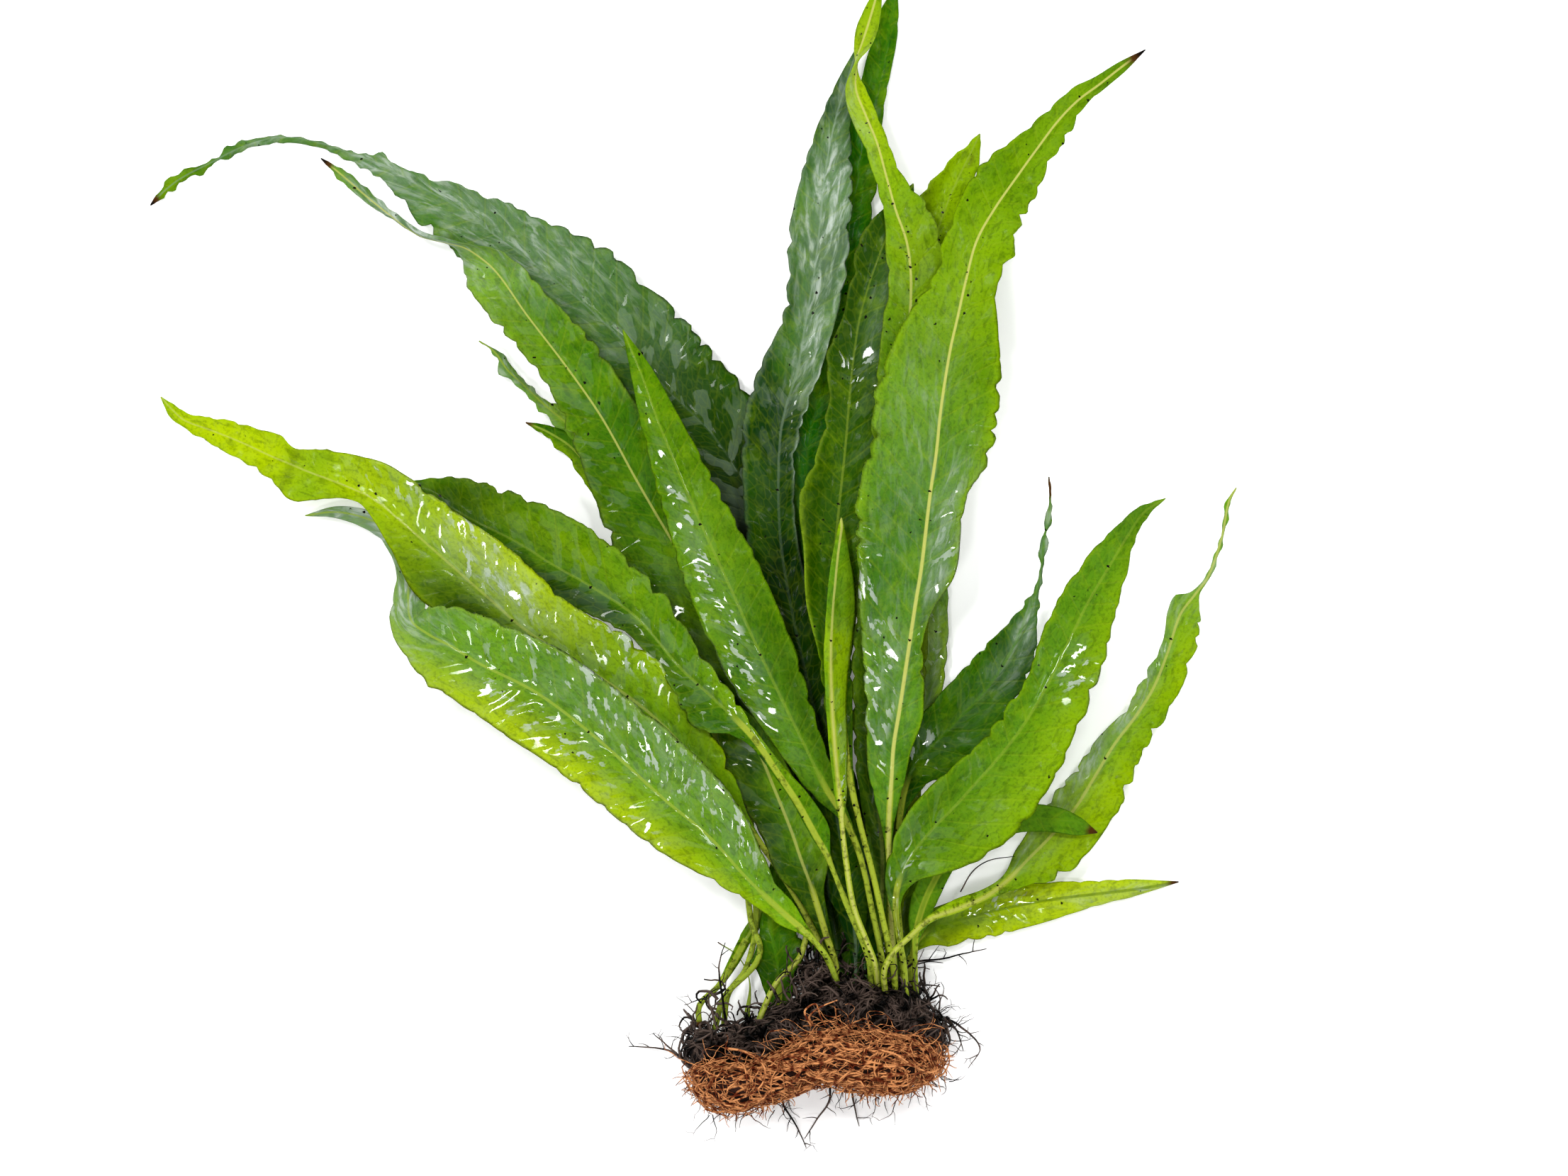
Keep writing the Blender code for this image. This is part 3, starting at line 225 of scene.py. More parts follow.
        (-20.6, 7, 10), (-19.6, 14.4, 9), (-15.6, 20, 6), (-13.4, 30, 5), (-14.4, 49.6, 4.6, 1, 1),
        (-17.6, 70.4, 4.6, 1.6, 1.6), (-26, 97.6, 4.8, 2.4, 2.4), (-37.6, 121.6, 5.8, 2.6, 2.6),
        (-47, 135, 6.2, 2.4, 2.4), (-56.2, 143, 6.2, 2.2, 2), (-61.6, 147.2, 5.8, 1.6, 1.5, 30),
        (-66.2, 151.4, 5.2, 1.4, 1.6, 50), (-69.4, 154.6, 4.4, 1.4, 1.2, 20),
        (-72.2, 158.8, 3.4, 0.7, 0.7), (-75.8, 161.4, 2.4),
    ],
    "leaf_thin_left_low": [
        (-22.6, 6.6, 12), (-20.4, 14, 13), (-13.6, 21, 10), (-12.4, 25, 8.6), (-14.4, 30.4, 7.8),
        (-16.6, 49.6, 7.2), (-21.6, 70.4, 6.6, 1.4, 1.4), (-33, 94.4, 4.6, 2.8, 2.8),
        (-41, 116.8, 3.8, 3.2, 3.2), (-48.6, 129.6, 3.4, 3, 3), (-54.8, 137.2, 3, 2.4, 2),
        (-60.2, 140.8, 2.6, 1.4, 1.2), (-65.3, 143, 2),
    ],
    "leaf_bottom_right": [
        (22, 14, 7), (21.4, 23.4, 4.8, 1.2, 1.2), (25.6, 28.8, 4, 3.6, 4.6),
        (33.6, 31.2, 3.4, 4.4, 5.2), (43.2, 33.6, 3, 4.8, 5.4), (52.8, 35.4, 2.6, 3.9, 4.6),
        (62.4, 36.6, 2.2, 3, 2.8), (72, 37.7, 1.6, 2.3, 1.5), (82, 39.4, 1),
    ],
    "leaf_right_back": [
        (18.4, 16, 7), (18.8, 26, 4.6), (18.6, 38.4, 3.6, 2, 2), (21, 59.2, 3.6, 2, 2),
        (24, 75.2, 3.8, 3.4, 3), (26.4, 86.4, 4, 4, 2.9), (27.2, 94.4, 4, 4, 2.8),
        (27, 102.4, 3.8, 4, 3), (25.4, 112, 3.4, 3, 3), (22.6, 122, 3),
    ],
    "leaf_young_left": [
        (-26, 7, 10.5), (-26, 12, 11.4), (-21.6, 16.4, 8), (-18.4, 21.4, 4.6, 1.4, 1.3),
        (-15.8, 26.2, 2.6, 1.6, 1.4), (-13.2, 30.6, 2, 1.4, 1.3), (-11.4, 35, 1.6),
    ],
    "leaf_young_inner": [
        (-8, 11.5, 9), (-8.4, 19.6, 8.8, 1, 1), (-8.8, 23, 7.6, 3, 4), (-9.6, 26, 6.6, 2.4, 4.6),
        (-10, 32, 5.4, 2, 5.4), (-9.4, 39, 4.8, 2, 4.6), (-8.4, 48, 4),
    ],
    "stem_stub": [
        (-15.4, 9, 6), (-14.8, 17, 3.4), (-17.4, 22.6, 1.6), (-22, 25.8, 1.3),
    ],
}

# what a leaf has unless its own look below says otherwise
usualLook = {
    "rise": 0.05,  # how far the margins rise for each mm across
    "wave": 0.5,  # how deep they wave, in mm
    "ruffle": 0.5,  # how strongly they ruffle between the side veins
    "quilt": 1,  # how strongly the blade bulges there
    "jag": (0, 0),  # the row that torn teeth start at, and their depth in mm
    "wing": (0, 1, 0),  # a row, its spread in rows, and how much wider the blade is there in mm
    "curls": [],  # a row, its spread in rows, the side, and how far that margin lifts in mm
    "trims": [],  # the same, and how far the margin moves out
    # the margin colour is partly painted light shining through the thin edge
    "rim": ("lime", 0.3),  # the margin's colour and how strongly it shows
    "rib": ("lime", 0.3),  # the same for the midrib
    "ribWide": 0.4,  # in mm
    "glow": "bright",  # the colour of its yellow patches
    "specks": 0.8,
    # the share of painted sheen in the pools of wet film
    "filmSheenShare": 0.22,
    "stemShare": 0.75,
}
# the kinds of patch, and where each is kept: 0 to 3 in the leaf's tone, then its wetness and film
# grey patches are mostly painted sheen, and in places the pale underside of a curled tip
patchKinds = {"yellow": 0, "dark": 1, "grey": 2, "burnt": 3, "wet": 4, "film": 5}
# dark patches are partly the leaf's own darker green and partly painted shade, at overlaps and the crown
# each leaf's own look, with the two colours of its blade. A patch is the row and the place across
# (-1 left margin, 1 right) that it is strongest at, its spread in rows and across, and its strength.
leafLooks = {
    "leaf_back_arching": dict(
        blade=("deep", "fern"), rim=("leaf", 0.15), rib=("grey", 0.3), wave=0.8, ruffle=1, quilt=0.5,
        jag=(10.2, 1.7), wing=(1.5, 1, 6.4), filmSheenShare=0.36, stemShare=0, curls=[(11, 2, 1, 0.8)],
        yellow=[(20.6, 0, 1.2, 2, 0.5)],
        dark=[(7, 0.2, 2.4, 1.6, 0.75), (4.6, 0, 3.4, 2, 1.2), (1.6, 0, 2.4, 2, 0.9)],
        grey=[(11.8, 0.3, 2.2, 1.1, 0.8), (14.4, 0, 1.6, 1.4, 0.9), (17, 0, 1.6, 2, 0.5)],
        film=[(8.4, 0.3, 1.8, 0.9, 0.85), (6.4, 0, 1.5, 1, 0.9), (13, 0, 2.4, 1, 0.5)],
        wet=[(8.4, 0.4, 1.4, 0.4, 0.3)], burnt=[(22, 0, 0.6, 2, 1)],
    ),
    "leaf_left_tall": dict(
        blade=("fresh", "fern"), rim=("lime", 0.25), rib=("straw", 0.7), rise=0.06, wave=0.7, ruffle=1,
        quilt=0.5, jag=(9.5, 0.7), specks=1.3, curls=[(12.5, 1.5, 1, 1.2)],
        yellow=[(11.4, -0.6, 2, 0.8, 0.35)], dark=[(4.2, 0, 2.4, 2, 0.85), (7.2, -0.8, 2, 0.5, 0.5)],
        grey=[(12.4, 0.8, 1.2, 0.4, 0.6), (15.2, 0, 2.6, 2, 1.3)],
        film=[(9, -0.5, 3, 0.6, 0.6), (10.6, 0.6, 2, 0.5, 0.5)],
        wet=[(6.2, -0.8, 1.4, 0.5, 0.5), (12.6, -0.6, 0.8, 0.6, 0.3)], burnt=[(19, 0, 0.5, 2, 1)],
    ),
    "leaf_centre_left": dict(
        blade=("leaf", "fern"), rim=("bright", 0.2), rise=-0.06, quilt=0.4,
        yellow=[(10, 0.2, 2.6, 1.5, 0.25)],
        dark=[(6.2, 0.6, 2.4, 0.45, 0.55), (8.6, 0.7, 1.5, 0.4, 0.3), (4, 0, 1.2, 2, 0.5)],
        grey=[(7.9, -0.35, 1.8, 0.4, 0.1)], film=[(7.6, -0.5, 2, 0.5, 0.8)],
        wet=[(8.3, -0.4, 1.8, 0.35, 1), (6.8, -0.6, 0.9, 0.4, 0.9)],
    ),
    "leaf_grey_sheen": dict(
        blade=("fern", "dark"), rim=("grey", 0.4), rib=("grey", 0.5), wave=0.8, ruffle=0.8, quilt=1.3,
        wing=(1.8, 1, 2.4), stemShare=0, curls=[(8.5, 1.4, 1, 1.6), (11, 2, -1, 0.8)],
        dark=[(3.8, 0, 4, 2, 1), (9, -0.8, 2, 0.4, 0.5), (7.4, -0.5, 1, 0.7, 0.4)],
        grey=[(11.2, 0.3, 2.4, 1, 1.25), (7.6, 1, 1.6, 0.14, 1.4), (8.8, 0.4, 1.1, 0.7, 1),
            (14, 0, 1.6, 1.2, 0.6)], film=[(7.8, 0, 1.4, 1, 0.8)], wet=[(7.8, 0.5, 1, 0.5, 0.35)],
    ),
    "leaf_dark_top": dict(
        blade=("fern", "jade"), rim=("leaf", 0.2), rib=("fern", 0.4), rise=0.04, ruffle=0.6, quilt=0.5,
        wing=(1.6, 1.2, 3), stemShare=0,
        yellow=[(11, 1, 2, 0.5, 0.1)], dark=[(2.2, 0, 2.4, 2, 1.1)], film=[(6.4, 0, 2, 1.2, 0.2)],
    ),
    "leaf_left_middle": dict(
        blade=("fern", "leaf"), rim=("lime", 0.25), rib=("lime", 0.35), wave=0.7, ruffle=1, quilt=0.7,
        jag=(9, 0.8), curls=[(12, 2, 1, 0.8)],
        yellow=[(6.8, 0.8, 2, 0.7, 0.6), (12.6, 0.5, 3.4, 0.4, 0.5)],
        dark=[(11.5, -0.6, 4, 0.5, 0.9), (13, 0.2, 2, 0.5, 0.35), (15, 0.3, 1.8, 1.2, 0.75),
            (9, 0.1, 4, 0.12, 0.4), (17, 0, 0.9, 2, 0.4), (4.6, -0.8, 1.4, 0.6, 0.4)],
        film=[(10, 0, 4, 1.2, 0.6)], wet=[(9.8, -0.8, 1.2, 0.6, 0.3), (7.5, 0.3, 1.2, 0.8, 0.4)],
    ),
    "leaf_olive_back": dict(
        blade=("olive", "olive"), rib=("lime", 0.35), rise=0.03, wave=0.6, ruffle=0.6, quilt=0.6,
        specks=1.6, curls=[(9.4, 1.6, -1, 2.2)],
        yellow=[(1.5, 0, 2.4, 2, 0.6), (8.6, -1, 2, 0.13, 0.9)],
        dark=[(14.6, -0.6, 2.8, 0.7, 0.6), (12.6, 0.3, 0.9, 0.6, 0.3), (6, 0.2, 3, 1, 0.4),
            (9.4, -0.7, 1.8, 0.5, 0.4)], grey=[(14.9, 0.8, 1.8, 0.5, 0.5)],
        film=[(11.4, 0.6, 1.6, 0.6, 0.4)], wet=[(12.7, 0.3, 0.7, 0.6, 1)],
    ),
    "leaf_bright_top": dict(
        blade=("fresh", "leaf"), rib=("straw", 0.9), ribWide=0.5, glow="lemon", wave=0.6, ruffle=0.6,
        quilt=0.7, wing=(4.6, 2, 2.6), specks=4, stemShare=0,
        yellow=[(9.8, 0.2, 1.8, 1.4, 0.35), (15.6, 0, 4, 2, 0.8)],
        dark=[(3, 0, 4, 2, 1.05), (7.4, 0, 1.2, 2, 0.3)], grey=[(15, -0.6, 2, 0.5, 0.4)],
        film=[(9, 0, 2, 1, 0.3)],
    ),
    "leaf_right_tall": dict(
        blade=("leaf", "fern"), rim=("bright", 0.45), rib=("straw", 0.95), ribWide=0.5, rise=0.04,
        wave=0.8, ruffle=0.9, quilt=0.5, specks=1.2, curls=[(11, 3, -1, 0.9), (17, 1.6, 1, 1)],
        yellow=[(16.4, 0.2, 3, 2, 0.8), (20, 0.3, 2.6, 2, 0.5), (13, 0.92, 4, 0.25, 0.5),
            (21, 0, 4, 2, 0.5)], dark=[(9, 0.75, 1.2, 0.4, 0.35)],
        grey=[(7.6, -0.3, 2.4, 0.8, 0.22), (10.4, 0.5, 1.5, 0.34, 0.8), (12, -0.3, 3, 0.6, 0.22)],
        film=[(10.4, -0.4, 3, 0.6, 0.3)],
        wet=[(10, 0.6, 1.5, 0.5, 0.7), (8.8, -0.9, 1.4, 0.3, 1), (7.2, -0.6, 1.6, 0.5, 1)],
        burnt=[(25, 0, 0.7, 2, 1)],
    ),
    "leaf_short_top": dict(
        blade=("bright", "bright"), rib=("lime", 0.5), rise=0.06, wave=0.6, ruffle=0.6, jag=(6, 0.9),
        wing=(3.2, 1.7, 4), specks=4, stemShare=0, curls=[(8.6, 1.2, -1, 1.4)],
        dark=[(2.5, 0, 2.6, 2, 0.9), (7.5, -0.9, 1, 0.4, 0.4), (6.4, 0.2, 0.6, 0.6, 0.4)],
        burnt=[(10, 0.3, 0.6, 0.4, 0.3)],
    ),
    "leaf_centre_upright": dict(
        blade=("bright", "leaf"), rib=("straw", 0.8), rise=0, wave=0.2, ruffle=0.1, specks=1.8,
        yellow=[(2, 0, 3, 2, 0.6), (8, 0.7, 3, 0.7, 0.7), (6, 0.2, 2, 0.8, 0.9)],
        dark=[(9, 0.9, 2.4, 0.5, 0.35), (9.6, 0.4, 1.6, 1, 0.2)], film=[(7, 0, 3, 1, 0.4)],
        wet=[(6.4, 0.6, 1.4, 0.5, 0.8)],
    ),
    "leaf_right_front": dict(
        blade=("leaf", "leaf"), rim=("bright", 0.45), rise=-0.04, ruffle=0.6, quilt=0.45, jag=(9, 0.5),
        curls=[(9, 3, 1, 0.6)],
        yellow=[(10, 0.8, 4.4, 0.5, 0.8)],
        dark=[(6.5, -0.5, 2.4, 0.4, 0.45), (9, -0.7, 4, 0.5, 0.25), (5, 0.2, 2.4, 0.5, 0.2),
            (3.8, 0, 1.5, 2, 0.35), (15.6, 0, 1, 2, 0.3)], film=[(5.4, -0.2, 2.4, 0.8, 0.5)],
        wet=[(3.4, 0.1, 1.6, 0.3, 0.9), (11.6, 0.3, 0.8, 0.4, 0.7), (4, -0.3, 1, 0.6, 1),
            (4.8, 0.06, 0.9, 0.2, 0.8), (11.6, 0.5, 0.5, 0.4, 1)],
    ),
    "leaf_right_needle": dict(
        blade=("dark", "fern"), rim=("leaf", 0.3), rib=("leaf", 0.4), rise=0.08, jag=(8.6, 1.3),
        curls=[(7, 1.6, -1, 0.8)],
        dark=[(4.8, 0, 2.8, 2, 0.45), (6.6, 0.6, 2, 0.5, 0.35)],
        grey=[(8.8, 0.2, 1.4, 0.6, 0.8), (12, 0, 2.2, 2, 0.6)], film=[(6, 0, 2, 1, 0.3)],
        wet=[(4.6, -0.4, 1, 0.6, 0.9)], burnt=[(13.6, 0, 0.6, 2, 0.6)],
    ),
    "leaf_small_left": dict(
        blade=("leaf", "olive"), rib=("straw", 0.65), wave=0.4, wing=(3.6, 1.4, 2.6), specks=1.4,
        yellow=[(4.5, 0.7, 1.4, 0.5, 0.35)],
        dark=[(7.2, -0.6, 1.4, 0.8, 0.6), (5.2, -0.9, 1.8, 0.7, 0.5), (1.4, 0, 2, 2, 0.9)],
        film=[(6, 0, 2, 2, 0.4)], wet=[(7, 0, 1, 1, 0.5)],
    ),
    "leaf_small_right": dict(
        blade=("leaf", "leaf"), rim=("leaf", 0.3), rib=("leaf", 0.4), wave=0.4, ruffle=0.4,
        dark=[(5, 0, 1.5, 2, 0.2)], burnt=[(8.9, 0, 0.5, 2, 0.7)],
    ),
    "leaf_far_right": dict(
        blade=("bright", "fresh"), rim=("bright", 0.4), rib=("straw", 0.6), glow="lemon", rise=0.07,
        wave=0.6, ruffle=1.3, quilt=0.6, jag=(17.4, 0.7), curls=[(13, 3, -1, 0.6)],
        trims=[(16.3, 0.5, -1, 2), (16.5, 0.4, 1, 1)],
        yellow=[(2.6, 0, 3, 2, 0.4), (11.5, 0.8, 5, 0.6, 0.25)], dark=[(8.4, -0.7, 1.2, 0.4, 0.35)],
        grey=[(12.6, -0.7, 3.6, 0.6, 0.8), (8, -0.4, 1.4, 0.6, 0.3), (18, 0, 1.6, 2, 0.4)],
        film=[(7, 0, 2, 1, 0.3)], wet=[(13, -0.5, 2, 0.3, 0.5)],
    ),
    "leaf_left_front": dict(
        blade=("leaf", "fresh"), rib=("lime", 0.7), glow="lemon", rise=0.03, wave=0.6, quilt=1.6,
        curls=[(11, 2, 1, 0.8)],
        yellow=[(8.4, -0.95, 4.4, 0.55, 1), (1.5, 0, 1.6, 2, 0.1)],
        dark=[(13.6, 0.3, 0.8, 0.8, 0.3), (4.6, 0.8, 1.2, 0.5, 0.3)],
        grey=[(7.5, 0.5, 3, 0.6, 0.16), (17.6, 0, 4.2, 2, 1.9)], film=[(7, 0.3, 3, 1.1, 0.6)],
        wet=[(7.4, 0.5, 1.9, 0.4, 1), (8.6, -0.45, 1.4, 0.35, 0.9), (8.8, 0.9, 1.2, 0.3, 0.8),
            (9.6, -0.3, 1, 0.4, 0.6), (5.8, 0.45, 1, 0.5, 0.7), (7, -0.75, 1, 0.3, 0.5),
            (6.2, 0.7, 1.8, 0.5, 0.8), (9.4, 0.4, 1.6, 0.4, 0.6)],
    ),
    "leaf_left_yellow": dict(
        blade=("leaf", "fresh"), rim=("lemon", 0.3), rib=("straw", 0.4), glow="lemon", rise=0.06,
        wave=0.8, ruffle=0.9, quilt=1.2, jag=(15, 0.5), curls=[(9, 2.4, 1, 0.8)],
        trims=[(14.6, 1.6, -1, -2.6), (11.6, 0.9, -1, 1.8), (6.4, 1.3, 1, 3)],
        yellow=[(20.5, 0, 4, 2, 1.1), (14.6, 0.1, 2.6, 1.6, 0.85), (10.6, 0.7, 3.4, 0.8, 1),
            (6, 0.9, 2.4, 0.6, 0.35)],
        # painted shade: the lower half beside the fold, the base at the crown, and a shadow along the
        # crease at row 17.8
        dark=[(10, -0.65, 2.6, 0.65, 1), (2, 0, 2.6, 2, 0.6), (17.8, 0.2, 0.22, 1.5, 0.45)],
        grey=[(10.4, 0.4, 1.8, 0.35, 0.7)], film=[(8, 0.2, 2.6, 1, 0.7)],
        wet=[(10.6, 0.4, 2.2, 0.4, 1), (7, 0.8, 1.4, 0.5, 0.8), (14, 0.7, 1.4, 0.5, 0.7),
            (11.6, 0.9, 1.2, 0.4, 0.8)],
    ),
    "leaf_thin_left": dict(
        blade=("fresh", "leaf"), rim=("lemon", 0.4), rib=("lime", 0.8), rise=0.08, jag=(7.6, 1.5),
        yellow=[(9, 0.4, 2.4, 1, 0.7)], grey=[(12, 0, 2.4, 2, 0.7)],
    ),
    "leaf_thin_left_low": dict(
        blade=("leaf", "fern"), rim=("lemon", 0.6), rib=("lime", 0.8), rise=0.08, jag=(7, 1.3),
        yellow=[(9.6, -0.9, 1.8, 0.6, 0.8)], burnt=[(12, 0, 0.4, 2, 0.6)],
    ),
    "leaf_bottom_right": dict(
        blade=("leaf", "fresh"), rim=("lemon", 0.3), rib=("moss", 0.6), glow="lemon", wave=0.4,
        specks=1.4,
        yellow=[(6.2, 0, 3, 2, 1.4), (3.4, 0.9, 2.4, 0.7, 1.1)],
        dark=[(1, 0, 1.1, 2, 0.7), (2.2, 0, 0.9, 2, 0.45), (3, 0.3, 0.8, 0.4, 0.2)],
        grey=[(6.8, 0.3, 1.2, 0.7, 0.7)], film=[(3.6, 0, 1.6, 1, 0.3)],
        wet=[(3.8, -0.3, 1.2, 0.8, 0.7)], burnt=[(4.5, -0.5, 0.4, 0.3, 0.3), (8.1, 0, 0.35, 2, 0.9)],
    ),
    "leaf_right_back": dict(
        blade=("leaf", "bright"), rim=("leaf", 0.3), rib=("leaf", 0.3), wave=0.4, wing=(1.5, 1.2, 3),
        stemShare=0,
        dark=[(1.2, 0, 1.8, 2, 0.9)], grey=[(5.6, 0, 2, 1, 0.35)], film=[(5, 0, 3, 1, 0.8)],
        wet=[(6, 0, 2, 1, 0.6)],
    ),
    "leaf_young_left": dict(
        blade=("fresh", "moss"), rib=("lime", 0.8), rise=0.1, wave=0.2, ruffle=0.2,
        yellow=[(1, 0, 1.6, 2, 0.5)], burnt=[(0, 0, 0.3, 2, 1)],
    ),
    "leaf_young_inner": dict(
        blade=("olive", "fern"), rim=("leaf", 0.3), rib=("leaf", 0.5), rise=0.1, wave=0.3, ruffle=0.3,
        wing=(1.3, 1.6, 3.6),
        dark=[(1, 0, 1.6, 2, 0.6)],
    ),
    "stem_stub": dict(
        blade=("moss", "lime"), rim=("lime", 0), rib=("lime", 0.7), rise=0, wave=0, ruffle=0,
        burnt=[(3, 0, 0.3, 2, 0.7)],
    ),
}

leafMake = {
    "stemRadius": 0.78 * mm,
    "tipRadius": 0.14 * mm,
    "slim": 0.88,  # a stem's share of the radius that it has in the solid
    "lowest": 0.05 * mm,
    "bladeHalf": 0.24 * mm,
    "step": 0.85 * mm,  # between cross-sections along the leaf
    "around": 56,  # points round a broad leaf's cross-section
    "aroundNarrow": 28,
    "narrow": 9.0 * mm,  # a leaf less wide than this takes fewer points
    "waveLength": 21.0 * mm,  # of the blade's long gentle waves
    "ruffle": 0.8 * mm,  # how far a margin rises and falls from one side vein to the next
    "ruffleDrift": 4.4,  # how unevenly the ruffles follow each other
    "scallop": 1.1 * mm,  # how far it steps in and out there
    "veinDrift": 2.2 * mm,  # how uneven the side veins' spacing is
    "jagFade": 9.0 * mm,  # torn teeth die out this near the tip
    "ribHeight": 0.32 * mm,
    "ribWidth": 0.9 * mm,
    "quilt": 0.3 * mm,  # how far the blade bulges between its side veins
    "veinSpacing": 6.5 * mm,
    "veinSlant": 0.8,  # how far a side vein runs along for each mm across
    "wrinkle": 0.08 * mm,
    "ripple": 0.34 * mm,  # how far the water film stands up in bars along the side veins
    "curlFrom": 0.45,  # a curl starts this far across
    "mapLength": 0.25,  # metres of leaf that one unit of its map covers
    "mapWidth": 0.05,
}
# how fast each unevenness changes, for each metre
leafPace = {
    "veins": 70, "ruffleTurn": 85, "ruffleStrength": 75, "margin": 500, "teeth": 420,
    "wrinkle": 260, "fineWrinkle": (700, 500), "bars": 190,
}


def bell(*offsets):
    # 1 where every offset is 0, and little past an offset of 2
    return math.exp(-sum(offset**2 for offset in offsets))


def addObject(name, data):
    made = bpy.data.objects.new(name, data)
    bpy.context.collection.objects.link(made)
    return made


class RowPath:
    # a smooth curve through rows of numbers, read by the distance run along it
    def __init__(self, rows):
        self.rows = rows
        self.distances = [0.0]
        for here, after in zip(rows, rows[1:]):
            self.distances.append(self.distances[-1] + (Vector(after[:3]) - Vector(here[:3])).length)
        self.length = self.distances[-1]
        self.slopes = []
        last = len(rows) - 1
        for i in range(last + 1):
            low, high = max(i - 1, 0), min(i + 1, last)
            run = self.distances[high] - self.distances[low]
            self.slopes.append([(b - a) / run for a, b in zip(rows[low], rows[high])])

    def at(self, distance):
        # the row's numbers there, and its place in the list of rows
        i = 0
        while i < len(self.rows) - 2 and distance > self.distances[i + 1]:
            i += 1
        run = self.distances[i + 1] - self.distances[i]
        t = min(max((distance - self.distances[i]) / run, 0.0), 1.0)
        start = 2 * t**3 - 3 * t**2 + 1
        leave = (t**3 - 2 * t**2 + t) * run
        arrive = (t**3 - t**2) * run
        numbers = [
            start * a + leave * slopeA + (1 - start) * b + arrive * slopeB
            for a, b, slopeA, slopeB in zip(
                self.rows[i], self.rows[i + 1], self.slopes[i], self.slopes[i + 1]
            )
        ]
        return numbers, i + t

    def points(self, count):
        # evenly spaced points, from one end to the other
        return [Vector(self.at(self.length * k / count)[0][:3]) for k in range(count + 1)]

    def direction(self, distance):
        reach = 0.3 * mm
        before = Vector(self.at(max(distance - reach, 0.0))[0][:3])
        after = Vector(self.at(min(distance + reach, self.length))[0][:3])
        return (after - before).normalized()


def inMetres(rows, lengths=3):
    return [[v * mm if k < lengths else float(v) for k, v in enumerate(row)] for row in rows]


def withStemAndTip(rows):
    # a reach of 0 is the stem's radius below the widest row, and the tip's above it
    full = [tuple(row) + (0,) * (6 - len(row)) for row in rows]
    widest = max(range(len(full)), key=lambda i: full[i][3] + full[i][4])
    found = inMetres(full, 5)
    for i, row in enumerate(found):
        least = leafMake["stemRadius"] if i <= widest else leafMake["tipRadius"]
        row[3:5] = [reach or least for reach in row[3:5]]
    return found


def wrappedGrid(name, along, around, place, setLayers=None):
    # a grid rolled up into a closed skin: place takes the number along and the share round
    bm = bmesh.new()
    bmesh.ops.create_grid(bm, x_segments=along, y_segments=around, size=1.0)
    turns = {}
    for vert in bm.verts:
        turns[vert.index] = (round((vert.co.x + 1) / 2 * along), (vert.co.y + 1) / 2)
    if setLayers:
        setLayers(bm, turns)
    for vert in bm.verts:
        vert.co = place(*turns[vert.index])
    bmesh.ops.remove_doubles(bm, verts=bm.verts, dist=0.5e-6)
    rims = [edge for edge in bm.edges if edge.is_boundary]
    bmesh.ops.holes_fill(bm, edges=rims, sides=0)
    bmesh.ops.recalc_face_normals(bm, faces=bm.faces)
    mesh = bpy.data.meshes.new(name)
    bm.to_mesh(mesh)
    bm.free()
    mesh.shade_smooth()
    return addObject(name, mesh)


